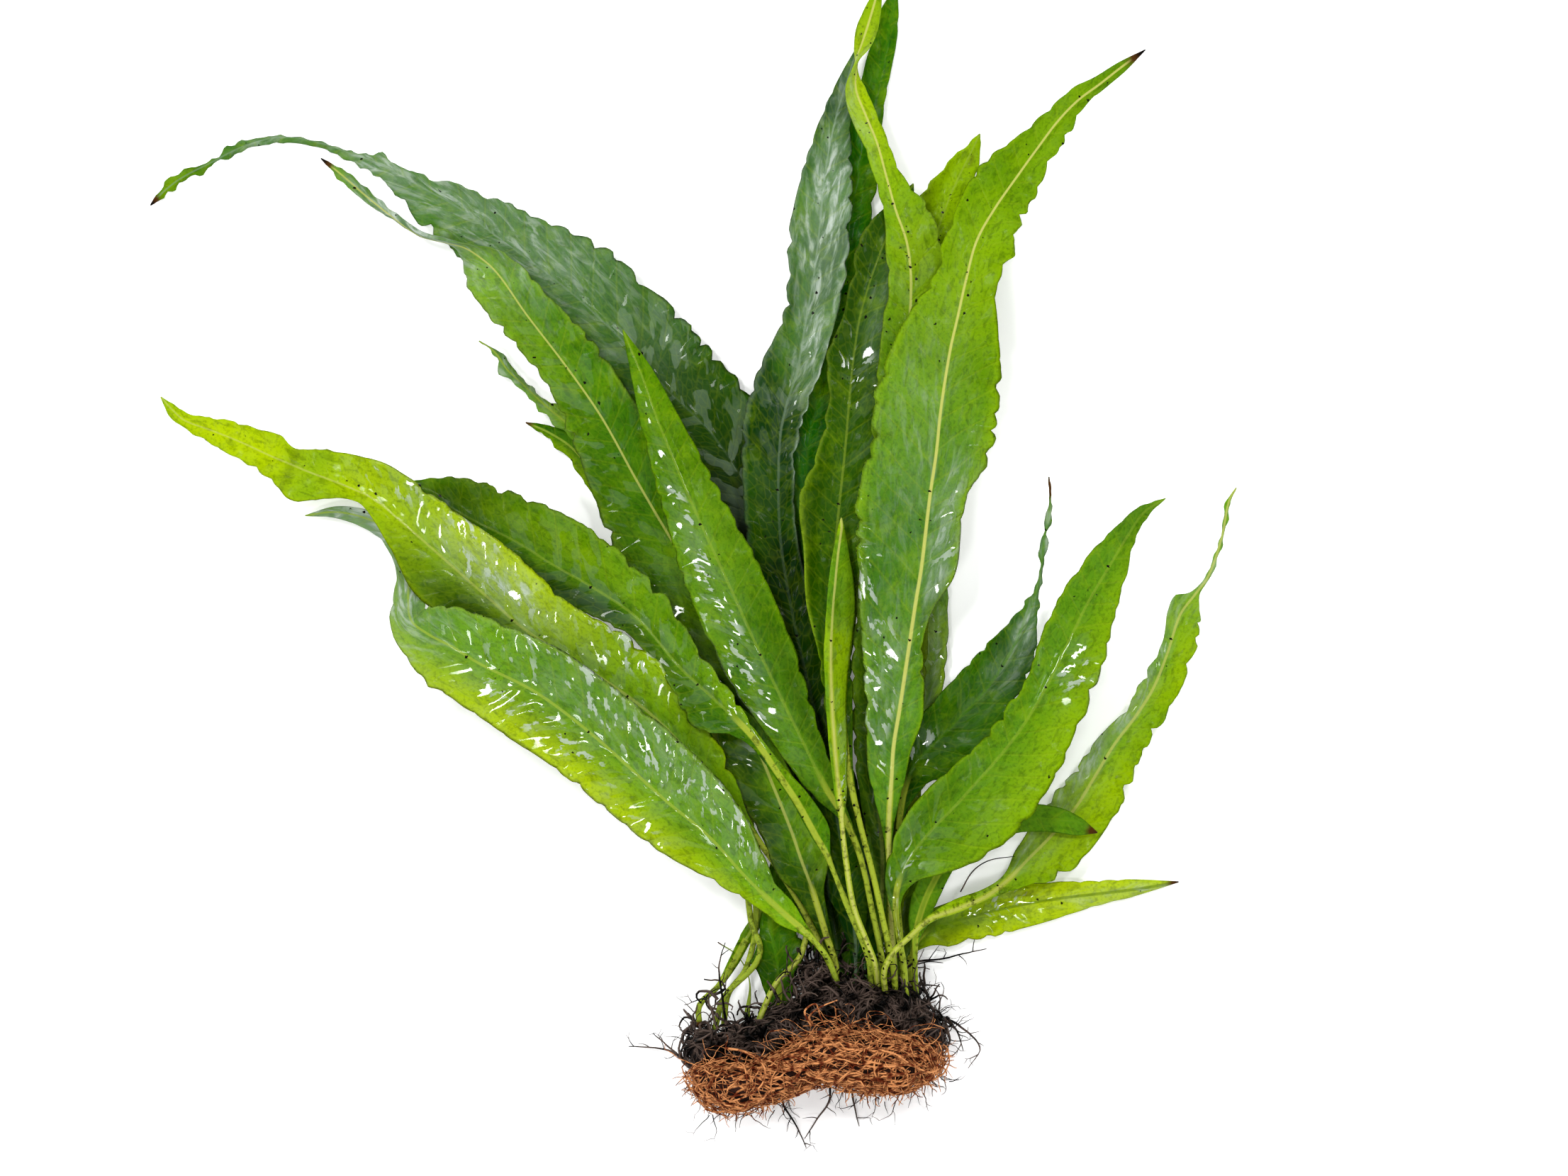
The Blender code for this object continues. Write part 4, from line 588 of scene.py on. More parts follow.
class Leaf:
    def __init__(self, name, rows, look):
        self.name = name
        self.look = look
        self.path = RowPath(withStemAndTip(rows))
        self.seed = sum(map(ord, name)) * 0.37
        widths = [row[3] + row[4] for row in self.path.rows]
        widest = max(widths)
        self.widestRow = widths.index(widest)
        narrow = widest < leafMake["narrow"]
        self.around = leafMake["aroundNarrow"] if narrow else leafMake["around"]
        self.along = max(40, round(self.path.length / leafMake["step"]))
        self.stations = [self.station(self.path.length * i / self.along) for i in range(self.along + 1)]

    def wander(self, x, y=0.0):
        # smooth noise of this leaf's own
        return noise.noise(Vector((x, self.seed, y)))

    def station(self, distance):
        # everything about one cross-section
        (x, y, z, left, right, roll), row = self.path.at(distance)
        wingRow, wingRows, wing = self.look["wing"]
        wing *= mm * bell((row - wingRow) / wingRows)
        reaches = {-1: left + wing, 1: right + wing}
        for trimRow, trimRows, trimSide, outwards in self.look["trims"]:
            reaches[trimSide] += outwards * mm * bell((row - trimRow) / trimRows)
        left, right = (max(v, leafMake["tipRadius"]) for v in (reaches[-1], reaches[1]))
        reach = (left + right) / 2
        stem, slim = leafMake["stemRadius"], leafMake["slim"]
        spread = min(max(reach / stem - 1, 0.0) / 2, 1.0)
        broad = min(max(reach / stem - 2, 0.0) / 4, 1.0)
        if row < self.widestRow:
            left, right = (v * (slim + (1 - slim) * broad) for v in (left, right))
        half = slim * min(reach, stem) * (1 - spread) + leafMake["bladeHalf"] * spread
        jagFrom, jag = self.look["jag"]
        fade = min(2 * (self.path.length - distance) / leafMake["jagFade"], 1.0)
        jag *= mm * min(max(row - jagFrom, 0.0), 1.0) * fade
        along = self.path.direction(distance)
        side = along.cross(up).normalized()
        side.rotate(Quaternion(along, math.radians(roll)))
        run = distance + leafMake["veinDrift"] * self.wander(distance * leafPace["veins"])
        edges, ruffles = [], []
        for sign, width in ((-1, left), (1, right)):
            turn = 2 * math.pi * self.veinPlace(run, width, sign)
            turn += leafMake["ruffleDrift"] * self.wander(distance * leafPace["ruffleTurn"], sign * 3)
            strength = 0.6 + 1.9 * self.wander(distance * leafPace["ruffleStrength"], sign * 5)
            strength = broad * self.look["ruffle"] * min(max(strength, 0.05), 1.2)
            notch = (1 - abs(math.sin(turn / 2))) ** 1.6
            step = 1.2 * notch + 0.5 * self.wander(distance * leafPace["margin"], sign)
            edge = width + strength * leafMake["scallop"] * (0.35 - step)
            tooth = self.wander(distance * leafPace["teeth"], sign * 7)
            edges.append(edge + jag * (max(tooth, -0.3) + 0.1 * sign))
            ruffles.append(strength * leafMake["ruffle"] * math.sin(turn))
        return {
            "centre": Vector((x, y, z)), "side": side, "normal": side.cross(along),
            "left": edges[0], "right": edges[1], "ruffles": ruffles, "half": half,
            "spread": spread, "broad": broad, "row": row, "distance": distance, "run": run,
        }

    def veinPlace(self, run, off, sign):
        # a whole number on a side vein, and a half between two
        return (run - leafMake["veinSlant"] * off) / leafMake["veinSpacing"] + 0.25 * sign

    def across(self, turn, spread):
        # the place across from -1 to 1, and the share of the thickness above or below
        angle = 2 * math.pi * turn
        flat = 1 - 4 * turn if turn < 0.5 else 4 * turn - 3
        v = math.cos(angle) * (1 - spread) + flat * spread
        thick = math.sqrt(max(1 - abs(flat) ** 3, 0.0)) * (1 if turn < 0.5 else -1)
        return v, math.sin(angle) * (1 - spread) + thick * spread

    def waveAt(self, here, side):
        # the margin's up and down, in metres
        length = leafMake["waveLength"]
        shift = 6 * self.wander(here["distance"] / (3 * length), side)
        turn = 2 * math.pi * here["distance"] / length + shift + 1.7 * side + self.seed
        return self.look["wave"] * mm * math.sin(turn)

    def place(self, i, turn):
        here = self.stations[i]
        v, thick = self.across(turn, here["spread"])
        across = v * (here["right"] if v > 0 else here["left"])
        off = abs(across)
        side = 1 if v > 0 else -1
        lift = self.look["rise"] * here["spread"] * off
        lift += here["broad"] * self.waveAt(here, side) * abs(v) ** 1.8
        lift += here["ruffles"][v > 0] * abs(v) ** 3.5
        bulge = abs(math.sin(math.pi * self.veinPlace(here["run"], off, side)))
        quilt = leafMake["quilt"] * self.look["quilt"] * here["broad"]
        quilt *= (bulge - 0.6) * min(off / (2 * mm), 1.0)
        pace, (paceAcross, paceAlong) = leafPace["wrinkle"], leafPace["fineWrinkle"]
        rough = noise.noise(Vector((across * pace, here["distance"] * pace, self.seed)))
        fine = Vector((across * paceAcross, here["distance"] * paceAlong, self.seed))
        rough += 0.6 * noise.noise(fine)
        for atRow, atAcross, rows, width, strength in self.look.get("wet", []):
            fall = bell((here["row"] - atRow) / rows, (v - atAcross) / width)
            barAt = 2.2 * self.veinPlace(here["run"], off, side)
            bar = noise.noise(Vector((barAt, across * leafPace["bars"], self.seed)))
            lift += strength * fall * leafMake["ripple"] * bar * (1 - v**8)
        lift += (quilt + leafMake["wrinkle"] * rough * here["broad"]) * (1 - v**6)
        rib = leafMake["ribHeight"] * here["broad"] * bell(across / leafMake["ribWidth"])
        for row, rows, curlSide, height in self.look["curls"]:
            if side == curlSide:
                fall = bell((here["row"] - row) / rows)
                lift += height * mm * fall * max(abs(v) - leafMake["curlFrom"], 0.0) ** 1.5 * 2.4
        lift += here["half"] * thick + (rib if thick > 0 else -rib)
        point = here["centre"] + here["side"] * across + here["normal"] * lift
        point.z = max(point.z, leafMake["lowest"])
        return point

    def tone(self, row, v):
        # how strong each kind of patch is there
        tone = [0.0] * len(patchKinds)
        for kind, channel in patchKinds.items():
            for atRow, atAcross, rows, width, strength in self.look.get(kind, []):
                fall = bell((row - atRow) / rows, (v - atAcross) / width)
                tone[channel] = max(tone[channel], strength * fall)
        return tone

    def setLayers(self, bm, turns):
        # the map and masks that the leaf's skin reads
        mapLayer = bm.loops.layers.uv.new("leafMap")
        toneLayer = bm.verts.layers.float_color.new("leafTone")
        edgeLayer, wetLayer, filmLayer, stemLayer = (
            bm.verts.layers.float.new(name) for name in ("leafEdge", "leafWet", "leafFilm", "leafStem")
        )
        places = {}
        for vert in bm.verts:
            i, turn = turns[vert.index]
            here = self.stations[i]
            v, _ = self.across(turn, here["spread"])
            across = v * (here["right"] if v > 0 else here["left"])
            tone = self.tone(here["row"], v)
            vert[toneLayer] = tone[:4]
            vert[wetLayer] = tone[4]
            vert[filmLayer] = tone[5]
            vert[stemLayer] = 1 - here["broad"] if here["row"] < self.widestRow else 0.0
            vert[edgeLayer] = abs(v) * here["broad"]
            places[vert.index] = (
                here["run"] / leafMake["mapLength"], 0.5 + across / leafMake["mapWidth"]
            )
        for face in bm.faces:
            for loop in face.loops:
                loop[mapLayer].uv = places[loop.vert.index]

    def build(self):
        return wrappedGrid(self.name + "_wet", self.along, self.around, self.place, self.setLayers)


# materials


class Wiring:
    # short ways to add nodes to a tree and join them
    def __init__(self, tree):
        self.tree = tree

    def add(self, kind, **settings):
        node = self.tree.nodes.new("ShaderNode" + kind)
        for key, value in settings.items():
            setattr(node, key, value)
        return node

    def feed(self, value, socket):
        if isinstance(value, bpy.types.NodeSocket):
            self.tree.links.new(value, socket)
        else:
            socket.default_value = value

    def fill(self, node, *values):
        # feeds a node's inputs in their order
        for value, socket in zip(values, node.inputs):
            self.feed(value, socket)
        return node.outputs[0]

    def labelled(self, node, sources):
        for label, value in sources.items():
            self.feed(value, node.inputs[label])
        return node.outputs

    def sums(self, operation, *values):
        return self.fill(self.add("Math", operation=operation), *values)

    def plus(self, *values):
        return self.sums("ADD", *values)

    def times(self, product, *others):
        for value in others:
            product = self.sums("MULTIPLY", product, value)
        return product

    def ramp(self, value, low, high, toLow=0.0, toHigh=1.0):
        node = self.add("MapRange", interpolation_type="SMOOTHSTEP")
        return self.fill(node, value, low, high, toLow, toHigh)

    def mix(self, factor, a, b):
        node = self.add("Mix", data_type="RGBA")
        for value, socket in ((factor, 0), (a, 6), (b, 7)):
            self.feed(value, node.inputs[socket])
        return node.outputs[2]

    def mask(self, name):
        # a number that the piece's mesh carries
        return self.add("Attribute", attribute_name=name).outputs["Fac"]

    def scaled(self, vector, factors):
        return self.fill(self.add("VectorMath", operation="MULTIPLY"), vector, factors)

    def stretched(self, along, across, scales):
        # the leaf's own map, stretched by a scale each way
        node = self.add("CombineXYZ")
        return self.fill(node, self.times(along, scales[0]), self.times(across, scales[1]))

    def noise(self, vector, scale, detail=2.0, rough=0.5, twist=0.0):
        return self.labelled(self.add("TexNoise"), {
            "Vector": vector, "Scale": scale, "Detail": detail, "Roughness": rough, "Distortion": twist,
        })["Fac"]

    def bump(self, height, distance):
        sources = {"Strength": 0.8, "Distance": distance, "Height": height}
        return self.labelled(self.add("Bump"), sources)["Normal"]

    def group(self, tree, **sources):
        return self.labelled(self.add("Group", node_tree=tree), sources)

    def finishGroup(self, found):
        # gives the group's results out under their labels
        for label in found:
            self.tree.interface.new_socket(label, in_out="OUTPUT", socket_type="NodeSocketFloat")
        self.labelled(self.tree.nodes.new("NodeGroupOutput"), found)
        return self.tree


def newGroup(name, vectors, floats=None):
    # a node group with these inputs, its wiring, and what comes in
    group = bpy.data.node_groups.new(name, "ShaderNodeTree")
    for label in vectors:
        group.interface.new_socket(label, in_out="INPUT", socket_type="NodeSocketVector")
    for label, value in (floats or {}).items():
        socket = group.interface.new_socket(label, in_out="INPUT", socket_type="NodeSocketFloat")
        socket.default_value = value
    return Wiring(group), group.nodes.new("NodeGroupInput").outputs


def newMaterial(name, constants):
    # a material with constants on its shader's own sockets, its wiring, and those sockets
    material = bpy.data.materials.new(name)
    material.use_nodes = True
    sockets = material.node_tree.nodes["Principled BSDF"].inputs
    for label, value in constants.items():
        sockets[label].default_value = value
    return material, Wiring(material.node_tree), sockets


veinMake = {
    # the midrib slims between these two lengths, in metres, from one share of its width to another
    "ribSlims": (0.06, 0.2, 1.15, 0.65),
    "veinWide": 0.075,  # of the veins' spacing
    "netWide": 0.12,  # of its cells
    # how finely each pattern is cut along the leaf or the veins, and across
    "net": (420.0, 520.0), "ripple": (2.4, 330.0), "streaks": (170.0, 480.0), "pools": (1.3, 170.0),
    "streakSlant": 1.6,
    "poolEdge": (0.53, 0.56),
}


def veinGroup():
    # the midrib, the slanted side veins and the net between them, from the leaf's own map
    w, entry = newGroup("leafVeins", ["Map"], {"Width": 0.4 * mm})
    parts = w.add("SeparateXYZ")
    w.feed(entry["Map"], parts.inputs[0])
    along = w.times(parts.outputs["X"], leafMake["mapLength"])
    across = w.times(w.sums("SUBTRACT", parts.outputs["Y"], 0.5), leafMake["mapWidth"])
    off = w.sums("ABSOLUTE", across)
    width = w.times(entry["Width"], w.ramp(along, *veinMake["ribSlims"]))
    slanted = w.sums("SUBTRACT", along, w.times(off, leafMake["veinSlant"]))
    phase = w.sums("DIVIDE", slanted, leafMake["veinSpacing"])
    phase = w.plus(phase, w.times(w.sums("SIGN", across), 0.25))
    cells = w.add("TexVoronoi", feature="DISTANCE_TO_EDGE")
    w.feed(w.stretched(slanted, across, veinMake["net"]), cells.inputs["Vector"])
    cells.inputs["Scale"].default_value = 1.0
    upAndOut = w.sums("SUBTRACT", along, w.times(off, veinMake["streakSlant"]))
    pool = w.noise(w.stretched(phase, across, veinMake["pools"]), 1.0, 2.0, 0.5, 0.5)
    return w.finishGroup({
        "Rib": w.ramp(off, w.times(width, 0.4), width, 1.0, 0.0),
        "Veins": w.ramp(w.sums("PINGPONG", phase, 0.5), 0.0, veinMake["veinWide"], 1.0, 0.0),
        "Net": w.ramp(cells.outputs["Distance"], 0.0, veinMake["netWide"], 1.0, 0.0),
        "Off": off,
        # bars of film lying along the side veins, whose crests carry the painted glints
        "Ripple": w.noise(w.stretched(phase, across, veinMake["ripple"]), 1.0, 3.0, 0.55),
        # creases that run up the blade and outwards, which also streak the painted sheen
        "Streaks": w.noise(w.stretched(upAndOut, across, veinMake["streaks"]), 1.0, 4.0, 0.6, 0.7),
        # broad pools of film between the side veins, where pools of sheen are painted
        "Pools": w.ramp(pool, *veinMake["poolEdge"]),
    })


speckMake = {
    "scale": 34.0, "stretch": (5.0, 1.0, 1.0),  # the map is longer than it is wide
    "nearRib": (0.2 * mm, 2.4 * mm, 0.24, 0.045),  # beside the midrib and away from it, and the share kept
    "size": (0.08, 0.26), "uneven": (0.5, 1.3), "soft": 0.04,
}


def speckGroup():
    # small dark specks, thickest beside the midrib
    w, entry = newGroup("leafSpecks", ["Map"], {"Off": 0.0, "Amount": 0.5})
    even = w.scaled(entry["Map"], speckMake["stretch"])
    dots = w.add("TexVoronoi", feature="F1")
    w.feed(even, dots.inputs["Vector"])
    dots.inputs["Scale"].default_value = speckMake["scale"]
    nearRib = w.ramp(entry["Off"], *speckMake["nearRib"])
    chance = w.add("SeparateColor")
    w.feed(dots.outputs["Color"], chance.inputs[0])
    kept = w.sums("LESS_THAN", chance.outputs[0], w.times(nearRib, entry["Amount"]))
    uneven = w.ramp(w.noise(even, 110.0, 3.0, 0.7), 0.35, 0.65, *speckMake["uneven"])
    size = w.times(w.ramp(chance.outputs[1], 0.0, 1.0, *speckMake["size"]), uneven)
    inside = w.ramp(w.sums("SUBTRACT", size, dots.outputs["Distance"]), 0.0, speckMake["soft"])
    return w.finishGroup({"Specks": w.times(inside, kept)})


def grainGroup():
    # the fine dots, light and shaded blotches and grime that every blade and stem carries
    w, entry = newGroup("leafGrains", ["Place", "Map"])
    place = entry["Place"]
    blotches = w.noise(w.scaled(entry["Map"], (80.0, 36.0, 1.0)), 1.0, 4.0, 0.6, 0.6)
    return w.finishGroup({
        "Broad": w.ramp(w.noise(place, 45.0, 3.0), 0.38, 0.62),
        "Fine": w.noise(place, 420.0, 4.0, 0.6),
        "Soft": w.noise(place, 260.0, 3.0),
        "Dots": w.ramp(w.noise(place, 1500.0, 3.0, 0.6), 0.48, 0.66, 0.0, 0.55),
        "Light": w.ramp(w.noise(place, 190.0, 4.0, 0.65), 0.5, 0.68, 0.0, 0.55),
        "Shade": w.ramp(blotches, 0.5, 0.66, 0.0, 0.6),
        "Grime": w.ramp(w.noise(place, 520.0, 4.0, 0.7), 0.5, 0.62),
    })


leafVeins, leafSpecks, leafGrains = veinGroup(), speckGroup(), grainGroup()
skinMake = {
    "constants": {"Specular IOR Level": 0.02, "Coat Roughness": 0.05, "Coat IOR": 1.33},
    "gloss": (0.24, 0.46),  # the blade's roughness, from its shinier to its duller grains
    "coat": (0.02, 1.0),  # how much clear wet coat a dry and a wet part has
    "bump": 0.5 * mm,
    "stemSpecks": 1.6,  # more specks on a stem than on its blade
}


def leafMaterial(name, look):
    material, w, sockets = newMaterial(name, skinMake["constants"])
    leafMap = w.add("UVMap", uv_map="leafMap").outputs["UV"]
    edge, wet, film, stem = (w.mask(key) for key in ("leafEdge", "leafWet", "leafFilm", "leafStem"))
    tones = w.add("Attribute", attribute_name="leafTone")
    split = w.add("SeparateColor")
    w.feed(tones.outputs["Color"], split.inputs[0])
    yellow, dark, grey = split.outputs
    burnt = tones.outputs["Alpha"]
    veins = w.group(leafVeins, Map=leafMap, Width=look["ribWide"] * mm)
    amount = w.ramp(stem, 0.4, 1.0, look["specks"], look["specks"] + skinMake["stemSpecks"])
    specks = w.group(leafSpecks, Map=leafMap, Off=veins["Off"], Amount=amount)
    grains = w.group(leafGrains, Place=w.add("TexCoord").outputs["Object"], Map=leafMap)

    rimKey, rimShare = look["rim"]
    ribKey, ribShare = look["rib"]
    clear = w.sums("SUBTRACT", 1.0, w.times(dark, 0.9))  # away from the dark patches
    wetness = w.sums("MAXIMUM", film, w.times(wet, 0.8))
    # painted highlights: near-white glints on the crests of the film's bars, where the leaf is wet
    paintedGlints = w.times(w.ramp(veins["Ripple"], 0.57, 0.6, 0.0, 0.7), w.ramp(wet, 0.3, 0.75))
    # painted sheen: where the grey patches lie, a grey to near-white reflection in streaks along the
    # creases
    sheen = w.times(grey, w.plus(0.3, w.times(w.ramp(veins["Streaks"], 0.4, 0.62), 0.6)))
    sheenColour = w.mix(w.ramp(veins["Streaks"], 0.5, 0.7), palette["grey"], palette["highlight"])
    stripe = w.times(w.ramp(veins["Off"], 0.5 * mm, 0.85 * mm, 1.0, 0.0), w.ramp(stem, 0.05, 0.7))
    scorch = w.ramp(w.plus(burnt, w.times(grains["Fine"], 0.25)), 0.25, 0.65)
    scorched = w.mix(w.ramp(burnt, 0.55, 0.9), palette["brown"], palette["black"])
    # what lies over the blade, from the lowest up: where, its colour, and how much of that is its own
    layers = (
        (w.times(yellow, 0.9), palette[look["glow"]], 1),
        # a lighter margin, partly its own paler green and partly painted light shining through it
        (w.times(w.ramp(edge, 0.8, 1.0), rimShare), palette[rimKey], 1),
        # partly painted shade: the dark patches go towards near-black green
        (w.times(dark, 0.85), palette["night"], 1),
        (grains["Dots"], palette["shade"], 0.5),
        (w.times(grains["Light"], clear), palette["bright"], 0.45),
        (grains["Shade"], palette["shade"], 0.55),
        (w.times(wetness, 0.3), palette["night"], 0.5),
        # painted sheen: pale grey pools of reflected light on the wet film
        (w.times(wetness, veins["Pools"], look["filmSheenShare"]), palette["grey"], 1),
        # painted highlights: the glints on the wet film
        (paintedGlints, palette["highlight"], 1),
        # painted sheen: streaks of reflected light
        (sheen, sheenColour, 1),
        (w.times(veins["Veins"], 0.3, clear), palette["vein"], 0.4),
        (w.times(veins["Net"], 0.12), palette["vein"], 0.5),
        (w.times(stripe, look["stemShare"]), palette["stalk"], 1),
        (w.times(veins["Rib"], ribShare, clear), palette[ribKey], 1),
        (w.times(grains["Grime"], w.ramp(stem, 0.6, 1.0, 0.0, 0.6)), palette["night"], 1),
        (specks["Specks"], palette["black"], 1),
        (scorch, scorched, 1),
    )
    first, second = (palette[key] for key in look["blade"])
    colour = w.mix(grains["Broad"], first, second)
    for where, layer, share in layers:
        colour = w.mix(where, colour, layer if share == 1 else w.mix(share, colour, layer))
    w.feed(colour, sockets["Base Color"])

    gloss = w.ramp(grains["Fine"], 0.3, 0.75, *skinMake["gloss"])
    w.feed(w.plus(gloss, w.times(burnt, 0.2)), sockets["Roughness"])
    w.feed(w.ramp(wet, 0.0, 0.6, *skinMake["coat"]), sockets["Coat Weight"])
    height = w.times(grains["Soft"], 0.1)
    # what stands up from the blade or sinks into it, where, and how far
    for factors in (
        (veins["Net"], -0.05), (veins["Veins"], -0.16), (veins["Ripple"], wet, 1.6),
        (veins["Streaks"], grey, 1.6), (veins["Pools"], film, 0.2), (grains["Fine"], wet),
    ):
        height = w.plus(height, w.times(*factors))
    w.feed(w.bump(height, skinMake["bump"]), sockets["Normal"])
    return material


def fibreMaterial(name, first, second, roughness, scale=90.0):
    # a dull strand whose colour drifts along it
    material, w, sockets = newMaterial(name, {"Specular IOR Level": 0.05})
    place = w.add("TexCoord").outputs["Object"]
    drift = w.ramp(w.noise(place, scale, 3.0), 0.4, 0.62)
    w.feed(w.mix(drift, first, second), sockets["Base Color"])
    grain = w.ramp(w.noise(place, 900.0), 0.3, 0.7, roughness - 0.12, roughness + 0.1)
    w.feed(grain, sockets["Roughness"])
    return material


def earthMaterial(name, first, second, third, roughness):
    # the mottled bodies under the strands
    material, w, sockets = newMaterial(name, {"Specular IOR Level": 0.12})
    place = w.add("TexCoord").outputs["Object"]
    mottle = w.noise(place, 160.0, 5.0, 0.65)
    colour = w.mix(w.ramp(mottle, 0.4, 0.6), first, second)
    colour = w.mix(w.ramp(w.noise(place, 60.0, 2.0), 0.52, 0.66), colour, third)
    w.feed(colour, sockets["Base Color"])
    w.feed(w.ramp(mottle, 0.3, 0.7, roughness - 0.15, roughness + 0.1), sockets["Roughness"])
    w.feed(w.bump(w.noise(place, 700.0, 4.0, 0.7), 0.6 * mm), sockets["Normal"])
    return material


# leaves

for name, rows in leafRows.items():
    look = usualLook | leafLooks[name]
    piece = Leaf(name, rows, look).build()
    piece.data.materials.append(leafMaterial(name + "_skin", look))
    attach(piece, "root")
    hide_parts(name)
print("leaves laid:", len(leafRows))


# the plug and the rhizome, as closed bodies under their strands

plugMake = {
    # across the plug: x, its near and far edge in y, and its height, in mm
    "rows": [
        (-29.0, -4.6, -1.4, 13), (-28.0, -7.2, -0.6, 20), (-24.5, -10.8, -0.6, 25),
        (-19.5, -12.4, -0.6, 27), (-14.4, -11.6, -0.4, 27.6), (-7.0, -9.0, 2.9, 27.6),
        (-1.6, -6.4, 5.9, 27.4), (3.2, -6.2, 6.9, 27.4), (9.0, -7.6, 7.3, 27.6),
        (15.0, -8.5, 6.5, 27.4), (20.8, -7.9, 5.6, 27), (26.0, -6.0, 4.4, 24), (28.6, -3.4, 3.0, 17),
        (29.2, -1.2, 1.4, 10),
    ],
    "along": 150, "around": 110, "lump": 0.55 * mm, "ridge": 0.3 * mm,
    "square": 0.62,  # 1 would make its cross-section round
    "slim": 0.955,  # its length's share of the solid's
    "frontIn": 1.3 * mm,  # how far its near edge stays in, for the fibres
    "skinIn": 1.2 * mm, "lowest": 0.05 * mm,
}
rhizomeMake = {
    # across the rhizome: x, y, z of its middle and its half width in y and z, in mm
    "rows": [
        (-29.2, 1.6, 8, 1.0, 2.0), (-26, 1.6, 9.4, 2.6, 5.2), (-16, 3.2, 10.6, 3.6, 6.6),
        (-7, 6.4, 11.6, 4.4, 7.6), (-3, 8.6, 12, 4.8, 8), (2, 9.6, 12, 5, 8.4),
        (12, 9.8, 12, 5, 8.4), (20, 9, 11.6, 4.8, 7.8), (25.6, 6.8, 10.8, 3.8, 6),
        (28, 6, 10, 1.2, 2.2),
    ],
    "along": 130, "around": 90, "lump": 2.4 * mm, "scale": 0.7 * mm, "skinIn": 0.5 * mm,
}


def easedAt(path, i, count):
    # the path's row at a step along it, with shorter steps near its ends
    return path.at(path.length * (0.5 - 0.5 * math.cos(math.pi * i / count)))[0]


def plugBody(make):
    path = RowPath(inMetres([(x, 0, 0, low, high, tall) for x, low, high, tall in make["rows"]], 6))

    def place(i, turn):
        x, _, _, low, high, tall = easedAt(path, i, make["along"])
        x, low = make["slim"] * x, low + make["frontIn"]
        angle = 2 * math.pi * turn
        squareCos, squareSin = (
            math.copysign(abs(v) ** make["square"], v) for v in (math.cos(angle), math.sin(angle))
        )
        y = (low + high) / 2 + (high - low) / 2 * squareCos
        z = tall / 2 * (1 + squareSin)
        point = Vector((x, y, z))
        lump = noise.noise(point * 110) * make["lump"]
        lump += noise.noise(Vector((point.x * 300, point.y * 900, point.z * 900))) * make["ridge"]
        outward = Vector((0, squareCos, squareSin)).normalized()
        point += outward * (lump - make["skinIn"])
        point.z = max(point.z, make["lowest"])
        return point

    return wrappedGrid("plug_core", make["along"], make["around"], place)


def rhizomeBody(make):
    path = RowPath(inMetres(make["rows"], 5))

    def place(i, turn):
        x, y, z, halfY, halfZ = easedAt(path, i, make["along"])
        angle = 2 * math.pi * turn
        outward = Vector((0, math.cos(angle), math.sin(angle)))
        point = Vector((x, y + halfY * outward.y, z + halfZ * outward.z))
        lump = noise.noise(point * 170) * make["lump"]
        scale = abs(noise.noise(point * 420)) * make["scale"] * 2
        return point + outward * (lump + scale - make["skinIn"])

    return wrappedGrid("rhizome_core", make["along"], make["around"], place)


def standFor(piece, node):
    # the piece is seen in place of the node's solid
    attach(piece, "root")
    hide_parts(node)


# each finish: two colours, how dull it is, and the scale of its drift from one to the other
coirFinishes = {
    "coir_orange": (onScreen(255, 172, 110), onScreen(112, 49, 27), 0.7, 620.0),
    "coir_brown": (onScreen(120, 56, 34), onScreen(46, 17, 8), 0.75, 620.0),
    "coir_pale": (onScreen(255, 236, 206), onScreen(244, 184, 132), 0.65, 200.0),
    "coir_dark": (onScreen(52, 20, 10), onScreen(18, 7, 4), 0.8),
}
rootFinishes = {
    # root_black drifts from black to a grey that is partly painted highlight on the wet roots
    "root_black": (onScreen(3, 2, 3), onScreen(104, 88, 80), 0.4, 240.0),
    "root_brown": (onScreen(150, 118, 94), onScreen(64, 50, 43), 0.55),
    "root_tan": (onScreen(196, 158, 126), onScreen(124, 98, 80), 0.65),
}
coirs, roots = (
    [fibreMaterial(name, *finish) for name, finish in finishes.items()]
    for finishes in (coirFinishes, rootFinishes)
)
plug = plugBody(plugMake)
# the dark core also stands for the painted shade deep in the gaps between the fibres
plug.data.materials.append(
    earthMaterial("coir_bed", onScreen(58, 32, 22), onScreen(30, 18, 15), onScreen(70, 44, 40), 0.85)
)
rhizome = rhizomeBody(rhizomeMake)
rhizome.data.materials.append(
    earthMaterial("rhizome_bark", onScreen(14, 10, 10), onScreen(50, 38, 34), onScreen(8, 6, 6), 0.6)
)
standFor(plug, "coir_plug")
standFor(rhizome, "rhizome")
print("plug and rhizome shaped")


# strands: each is its points, its radii and its finish's place in the piece's list

def strandPiece(name, strands, finishes):
    # many thin tapering tubes in one mesh
    curve = bpy.data.curves.new(name, "CURVE")
    curve.dimensions = "3D"
    curve.bevel_depth = 1.0
    curve.bevel_resolution = 0
    curve.use_fill_caps = True
    for points, radii, finish in strands:
        spline = curve.splines.new("POLY")
        spline.points.add(len(points) - 1)
        for slot, point, radius in zip(spline.points, points, radii):
            slot.co = (*point, 1.0)
            slot.radius = radius
        spline.material_index = finish
        spline.use_smooth = True
    for material in finishes:
        curve.materials.append(material)
    drawn = addObject(name + "_curve", curve)
    view = bpy.context.evaluated_depsgraph_get()
    mesh = bpy.data.meshes.new_from_object(drawn.evaluated_get(view))
    mesh.name = name
    bpy.data.objects.remove(drawn, do_unlink=True)
    return addObject(name, mesh)


def taper(count, thick, thin):
    return [thick + (thin - thick) * (k / (count - 1)) ** 1.5 for k in range(count)]


def routed(rows, count, thick, thin, finish):
    # one strand through points set by hand, in mm
    return RowPath(inMetres(rows)).points(count), taper(count + 1, thick, thin), finish


